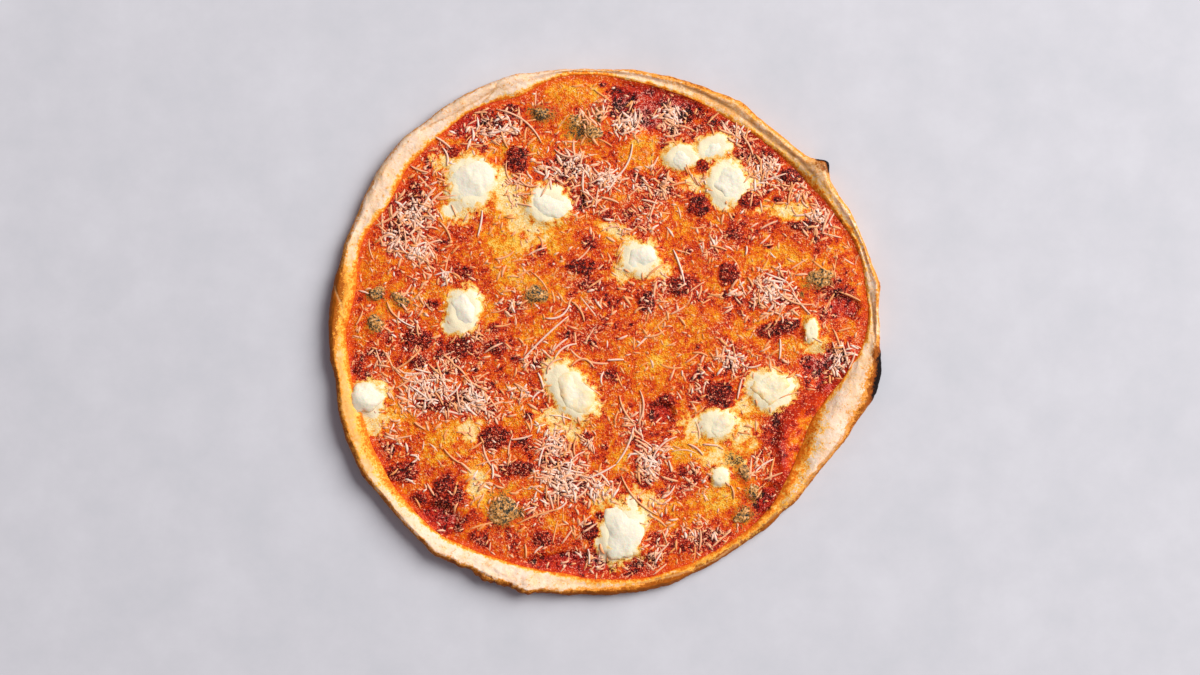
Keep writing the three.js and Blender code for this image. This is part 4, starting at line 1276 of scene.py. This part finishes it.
@dataclass
class ParmesanShreds:
    """Grated parmesan strewn over the whole topping."""

    seed: int = 8112
    half_side: float = 142.0  # of the square that the small ones are strewn over, mm
    tries_each: int = 24
    rings: list[Array] = field(default_factory=list)
    tones: list[Array] = field(default_factory=list)
    faces: list[Whole] = field(default_factory=list)
    count: int = 0

    def strips(self, lines: Array, width: Array, thickness: float, lift: Array, tone: Array) -> None:
        """Adds shreds along lines with the same number of points.

        Args:
            lines: Points across and up the picture, by shred and step, mm.
            width: Width of each, mm.
            thickness: Thickness, mm.
            lift: Height of each one's underside over the topping, mm.
            tone: 0 for oily peach, 1 for dry and pale.
        """
        number, steps = lines.shape[:2]
        along = np.gradient(lines, axis=1)
        along /= np.linalg.norm(along, axis=2)[..., None]
        across = np.stack([-along[..., 1], along[..., 0]], axis=-1)
        taper = 1 - 0.6 * np.abs(np.linspace(-1, 1, steps)) ** 4
        half = 0.5 * width[:, None, None] * taper[None, :, None]
        base = shred_rest(lines[..., 0], lines[..., 1]) + lift[:, None]
        corners = []
        for side, rise in ((1.0, 0.0), (-1.0, 0.0), (-0.7, thickness), (0.7, thickness)):
            corners.append(np.concatenate([lines + side * half * across, (base + rise)[..., None]], axis=-1))
        ring = np.stack(corners, axis=2).reshape(-1, 3)
        start = self.count + np.arange(number)[:, None, None] * 4 * steps
        self.faces.append((ring_faces(steps, 4)[None] + start).reshape(-1, 4))
        caps = np.array([[3, 2, 1, 0], [4 * steps - 4, 4 * steps - 3, 4 * steps - 2, 4 * steps - 1]])
        self.faces.append((caps[None] + start).reshape(-1, 4))
        self.rings.append(ring)
        self.tones.append(np.repeat(tone, 4 * steps))
        self.count += len(ring)

    def clear(self, row: Sequence[float]) -> bool:
        """Whether a shred keeps off the lumps, the crust and the bare sauce.

        Args:
            row: Its two ends, mm, and its bow.

        Returns:
            True if it does.
        """
        t = np.array([0, 0.25, 0.5, 0.75, 1])
        x, y = row[0] + (row[2] - row[0]) * t, row[1] + (row[3] - row[1]) * t
        for lump in (*GOAT_LUMPS, *BLUE_CRUMBS):
            if np.any(ellipse_share(x, y, (lump[0], lump[1], lump[2] + 2, lump[3] + 2, lump[4])) <= 1):
                return False
        return bool(np.all(np.hypot(x, y) < RIM.inner_at(x, y) - 3) and np.all(cheese_amount(x, y) > 0.3))

    def laid_rows(self) -> list[Row]:
        """The larger shreds that the solids also have: the long ones, then those laid by the rule."""
        stream = draws(SHRED_SEED)
        placed = [((row[0] + row[2]) / 2, (row[1] + row[3]) / 2) for row in LONG_SHREDS]
        rows: list[Row] = [row for row in LONG_SHREDS if self.clear(row)]
        for n in range(SCATTERED_SHREDS):
            length = SHRED_LONGEST + (SHRED_SHORTEST - SHRED_LONGEST) * n / SCATTERED_SHREDS
            best: tuple[float, Row, tuple[float, float]] | None = None
            for _ in range(SHRED_TRIES):
                spread, bearing = RIM_RADIUS * math.sqrt(next(stream)), 2 * math.pi * next(stream)
                heading, bow = math.pi * next(stream), (-0.12 + 0.24 * next(stream)) * length
                x, y = spread * math.cos(bearing), spread * math.sin(bearing)
                dx, dy = 0.5 * length * math.cos(heading), 0.5 * length * math.sin(heading)
                row = (x - dx, y - dy, x + dx, y + dy, bow)
                nearest = min(math.hypot(px - x, py - y) for px, py in placed)
                drifted = any(math.hypot(cx - x, cy - y) < 1.3 * size for cx, cy, size in SHRED_DRIFTS)
                room = nearest * (2.5 if drifted else 1.0)
                if room > (best[0] if best else 4.0) and self.clear(row):
                    best = (room, row, (x, y))
            if best:
                placed.append(best[2])
                rows.append(best[1])
        return rows

    def scatter(self, rng: np.random.Generator, cut: Cut) -> None:
        """Strews one size of shred, thickest in the drifts and thin on the yellow pools.

        Args:
            rng: Where the random draws come from.
            cut: The size.
        """
        number, shortest, longest, width, thickness, stray, steps = cut.value
        tries = number * self.tries_each
        x, y = rng.uniform(-self.half_side, self.half_side, (2, tries))
        drift = drift_share(x, y)
        chance = (stray + 0.62 * drift**1.4) * (1 - 0.4 * soft_spots(x, y, YELLOW_POOLS, 0.45))
        keep = rng.random(tries) < chance
        keep &= np.hypot(x, y) < RIM.inner_at(x, y) - 1.5
        keep &= (nearest_share(x, y, RAISED_BLISTERS) > 0.95) | (rng.random(tries) < 0.3)
        keep &= (nearest_share(x, y, CLEARED_SPOTS) > 1) | (rng.random(tries) < 0.25)
        keep &= (nearest_share(x, y, GOAT_LUMPS) > 1.08) & (ellipse_share(x, y, OILY_SLOPE) > 1.1)
        chosen = np.flatnonzero(keep)[:number]
        x, y, drift, number = x[chosen], y[chosen], drift[chosen], len(chosen)
        length, heading = rng.uniform(shortest, longest, number), rng.uniform(0, math.pi, number)
        reach = 0.5 * length[:, None] * np.column_stack([np.cos(heading), np.sin(heading)])
        middle = np.column_stack([x, y])
        lines = bowed_lines(middle - reach, middle + reach, rng.normal(0, 0.06, number) * length, steps)
        tone = np.clip(rng.normal(0.36 + 0.5 * drift, 0.25), 0, 1)
        lift = rng.uniform(-0.45, 0.6 * drift)
        self.strips(lines, width * rng.uniform(0.7, 1.25, number), thickness, lift, tone)

    def make(self) -> None:
        """Builds and dresses all the shreds as one piece."""
        rows = np.array([*self.laid_rows(), *FINE_LONG_SHREDS])
        lines = bowed_lines(rows[:, :2], rows[:, 2:4], rows[:, 4], 14)
        tone = 0.6 + 0.35 * np.sin(7.0 * np.arange(len(rows)))
        self.strips(lines, np.full(len(rows), 1.15), 0.7, np.full(len(rows), 0.1), tone)
        rng = np.random.default_rng(self.seed)
        for cut in Cut:
            self.scatter(rng, cut)
        data = {"tone": np.concatenate(self.tones)}
        piece = build_piece("parmesan_shreds", np.vstack(self.rings), self.faces, data)
        dress(piece, GRATED_PARMESAN, "parmesan", "melted_mozzarella")


def shred_rest(x: Array, y: Array) -> Array:
    """Height on which a shred rests: the higher of the sheet and the sauce, mm."""
    return np.maximum(sheet_top(x, y), sauce_top(x, y)) - 0.1


def bowed_lines(start: Array, end: Array, bow: Array, steps: int) -> Array:
    """Points of bowed lines between pairs of ends.

    Args:
        start: First ends, mm.
        end: Last ends, mm.
        bow: How far the middle of each stands to the left of its run, mm.
        steps: How many points each has.

    Returns:
        Points in mm, by line and step.
    """
    run = end - start
    normal = np.column_stack([-run[:, 1], run[:, 0]]) / np.linalg.norm(run, axis=1)[:, None]
    middle = (start + end) / 2 + 2 * bow[:, None] * normal
    t = np.linspace(0, 1, steps)[None, :, None]
    return (1 - t) ** 2 * start[:, None] + 2 * t * (1 - t) * middle[:, None] + t**2 * end[:, None]


# ---- Goat cheese and blue cheese ----


@dataclass
class Lumps:
    """All the broken pieces of one cheese that lie on the sheet."""

    stem: str
    node: str  # the solids' names without their numbers, and the slot
    finish: Finish
    rows: Rows
    first_index: int
    roughness: float  # mm that the surface is uneven
    fray: float  # mm that the outline is uneven
    grain: float  # mm across its unevenness
    fineness: int

    def build(self, name: str, row: Row, index: int) -> Object:
        """Builds one lump as a closed mesh.

        Args:
            name: The piece's name.
            row: Centre, half widths, tilt and height.
            index: Which of the outlines it has.

        Returns:
            The new object.
        """
        x, y, half_x, half_y, tilt, height = row
        ball = bmesh.new()
        bmesh.ops.create_icosphere(ball, subdivisions=self.fineness, radius=1.0)
        unit = np.array([vertex.co[:] for vertex in ball.verts])
        faces = np.array([[vertex.index for vertex in face.verts] for face in ball.faces])
        ball.free()
        bearing = np.arctan2(unit[:, 1], unit[:, 0])
        swell = 1 + 0.09 * np.sin(2 * bearing + 2.4 * index) + 0.07 * np.sin(3 * bearing + 1.3 * index)
        swell = swell + 0.04 * np.sin(5 * bearing + 4.1 * index)
        along, across = unit[:, 0] * half_x * swell, unit[:, 1] * half_y * swell
        crumble = 1 + 0.14 * waves(2 * along + 9 * index, 2 * across)
        turn = math.radians(tilt)
        px = x + along * math.cos(turn) - across * math.sin(turn)
        py = y + along * math.sin(turn) + across * math.cos(turn)
        up = np.maximum(0, unit[:, 2])
        side = np.sqrt(np.clip(1 - unit[:, 2] ** 2, 0, 1))
        frayed = self.fray * (1.3 * rough_noise(px, py, 8.0, 60) + 0.5 * rough_noise(px, py, 2.4, 63, 2))
        px, py = px + frayed * side * unit[:, 0], py + frayed * side * unit[:, 1]
        rough = self.roughness * rough_noise(px, py, self.grain, 61)
        crease = self.roughness * (0.5 - np.abs(rough_noise(px, py, 2.2 * self.grain, 62)))
        pz = CHEESE_BOTTOM + np.sqrt(up) * height * crumble + (rough + crease) * smoothstep(up, 0.05, 0.4)
        mellow = 0.6 if row in MELLOW_LUMPS else 0.05
        melt = 0.85 + mellow - 1.15 * up + 0.28 * rough_noise(px, py, 4.0, 71)
        vein = 0.54 + 0.15 * rough_noise(px, py, 4.0, 72)
        data = {"melt": melt} if self.finish is GOAT_CHEESE else {"vein": vein}
        return build_piece(name, np.column_stack([px, py, pz]), [faces], data)

    def make(self) -> None:
        """Builds and dresses each lump."""
        for number, row in enumerate(self.rows, start=1):
            lump = self.build(f"{self.stem}_{number:02d}", row, self.first_index + number - 1)
            dress(lump, self.finish, self.node, f"{self.node}_{number:02d}")


# ---- Studio ----


@dataclass
class Studio:
    """Camera straight above, pale paper floor, one large soft light from the upper right and an even sky."""

    pixel_mm: float = 0.54
    picture_pixels: tuple[int, int] = (1200, 675)
    middle_pixel: tuple[float, float] = (606.5, 332.8)  # where the drawing's origin lies in the picture
    camera_height: float = 1.1
    topping_height: float = 0.006
    sensor: float = 36.0
    floor_size: float = 8.0
    cloud_mm: float = 40.0  # across a cloud in the paper
    light_away: float = 5.0
    light_size: float = 3.3
    light_bearing: float = 32.0
    light_rise: float = 41.0
    light_power: float = 380.0
    sky_strength: float = 0.22

    def camera(self) -> None:
        """Adds the camera."""
        data = bpy.data.cameras.new("overhead_camera")
        span = self.picture_pixels[0] * self.pixel_mm * MM
        data.sensor_width = self.sensor
        data.lens = self.sensor * self.camera_height / span
        data.clip_end = 20.0
        camera = place_object("overhead_camera", data)
        across = (self.picture_pixels[0] / 2 - self.middle_pixel[0]) * self.pixel_mm - MIDDLE[0]
        up = (self.middle_pixel[1] - self.picture_pixels[1] / 2) * self.pixel_mm - MIDDLE[1]
        camera.location = (across * MM, up * MM, self.camera_height + self.topping_height)
        bpy.context.scene.camera = camera

    def floor(self) -> None:
        """Adds the floor, a sheet of matt pale grey paper."""
        half = self.floor_size / 2
        mesh = bpy.data.meshes.new("paper_floor")
        corners = [(-half, -half, 0), (half, -half, 0), (half, half, 0), (-half, half, 0)]
        mesh.from_pydata(corners, [], [(0, 1, 2, 3)])
        floor = place_object("paper_floor", mesh)
        material, shader, place = start_material("matt_grey_paper")
        tree = material.node_tree
        pattern = {"Vector": place, "Scale": per_metre(self.cloud_mm), "Detail": 6.0, "Roughness": 0.65}
        shades = ((0.3, "C8C9CF"), (0.5, "CDCDD3"), (0.7, "D2D2D8"))
        colour = add_node(tree, "ValToRGB", {"Fac": add_node(tree, "TexNoise", pattern)}, {"stops": shades})
        fill_sockets(tree, shader, {"Base Color": colour, "Roughness": 0.9, "Specular IOR Level": 0.1})
        mesh.materials.append(material)

    def lights(self) -> None:
        """Adds the soft light and the sky."""
        data = bpy.data.lights.new("soft_window", "AREA")
        data.shape = "SQUARE"
        data.size = self.light_size
        data.energy = self.light_power
        data.color = (1.0, 0.99, 0.97)
        light = place_object("soft_window", data)
        bearing, rise = math.radians(self.light_bearing), math.radians(self.light_rise)
        out, up = self.light_away * math.cos(rise), self.light_away * math.sin(rise)
        light.location = (out * math.cos(bearing), out * math.sin(bearing), up)
        light.rotation_euler = (math.pi / 2 - rise, 0, bearing + math.pi / 2)
        world = bpy.data.worlds.new("even_sky")
        world.use_nodes = True
        sky = {"Color": (0.99, 0.9, 1.0, 1.0), "Strength": self.sky_strength}
        fill_sockets(world.node_tree, world.node_tree.nodes["Background"], sky)
        bpy.context.scene.world = world
        bpy.context.scene.view_settings.view_transform = "Standard"

    def make(self) -> None:
        """Builds the studio."""
        self.camera()
        self.floor()
        self.lights()


def main() -> None:
    """Builds every piece in order."""
    logging.basicConfig(level=logging.INFO, format="%(message)s")
    Studio().make()
    Crust().make()
    SauceLayer().make()
    MeltedSheet().make()
    ParmesanShreds().make()
    Lumps(
        stem="goat_cheese_lump", node="goat_cheese", finish=GOAT_CHEESE, rows=GOAT_LUMPS, first_index=0,
        roughness=0.22, fray=1.2, grain=3.4, fineness=5,
    ).make()
    Lumps(
        stem="blue_cheese_crumb", node="blue_cheese", finish=BLUE_CHEESE, rows=BLUE_CRUMBS,
        first_index=len(GOAT_LUMPS), roughness=0.45, fray=1.1, grain=2.0, fineness=4,
    ).make()


if __name__ == "__main__":
    main()
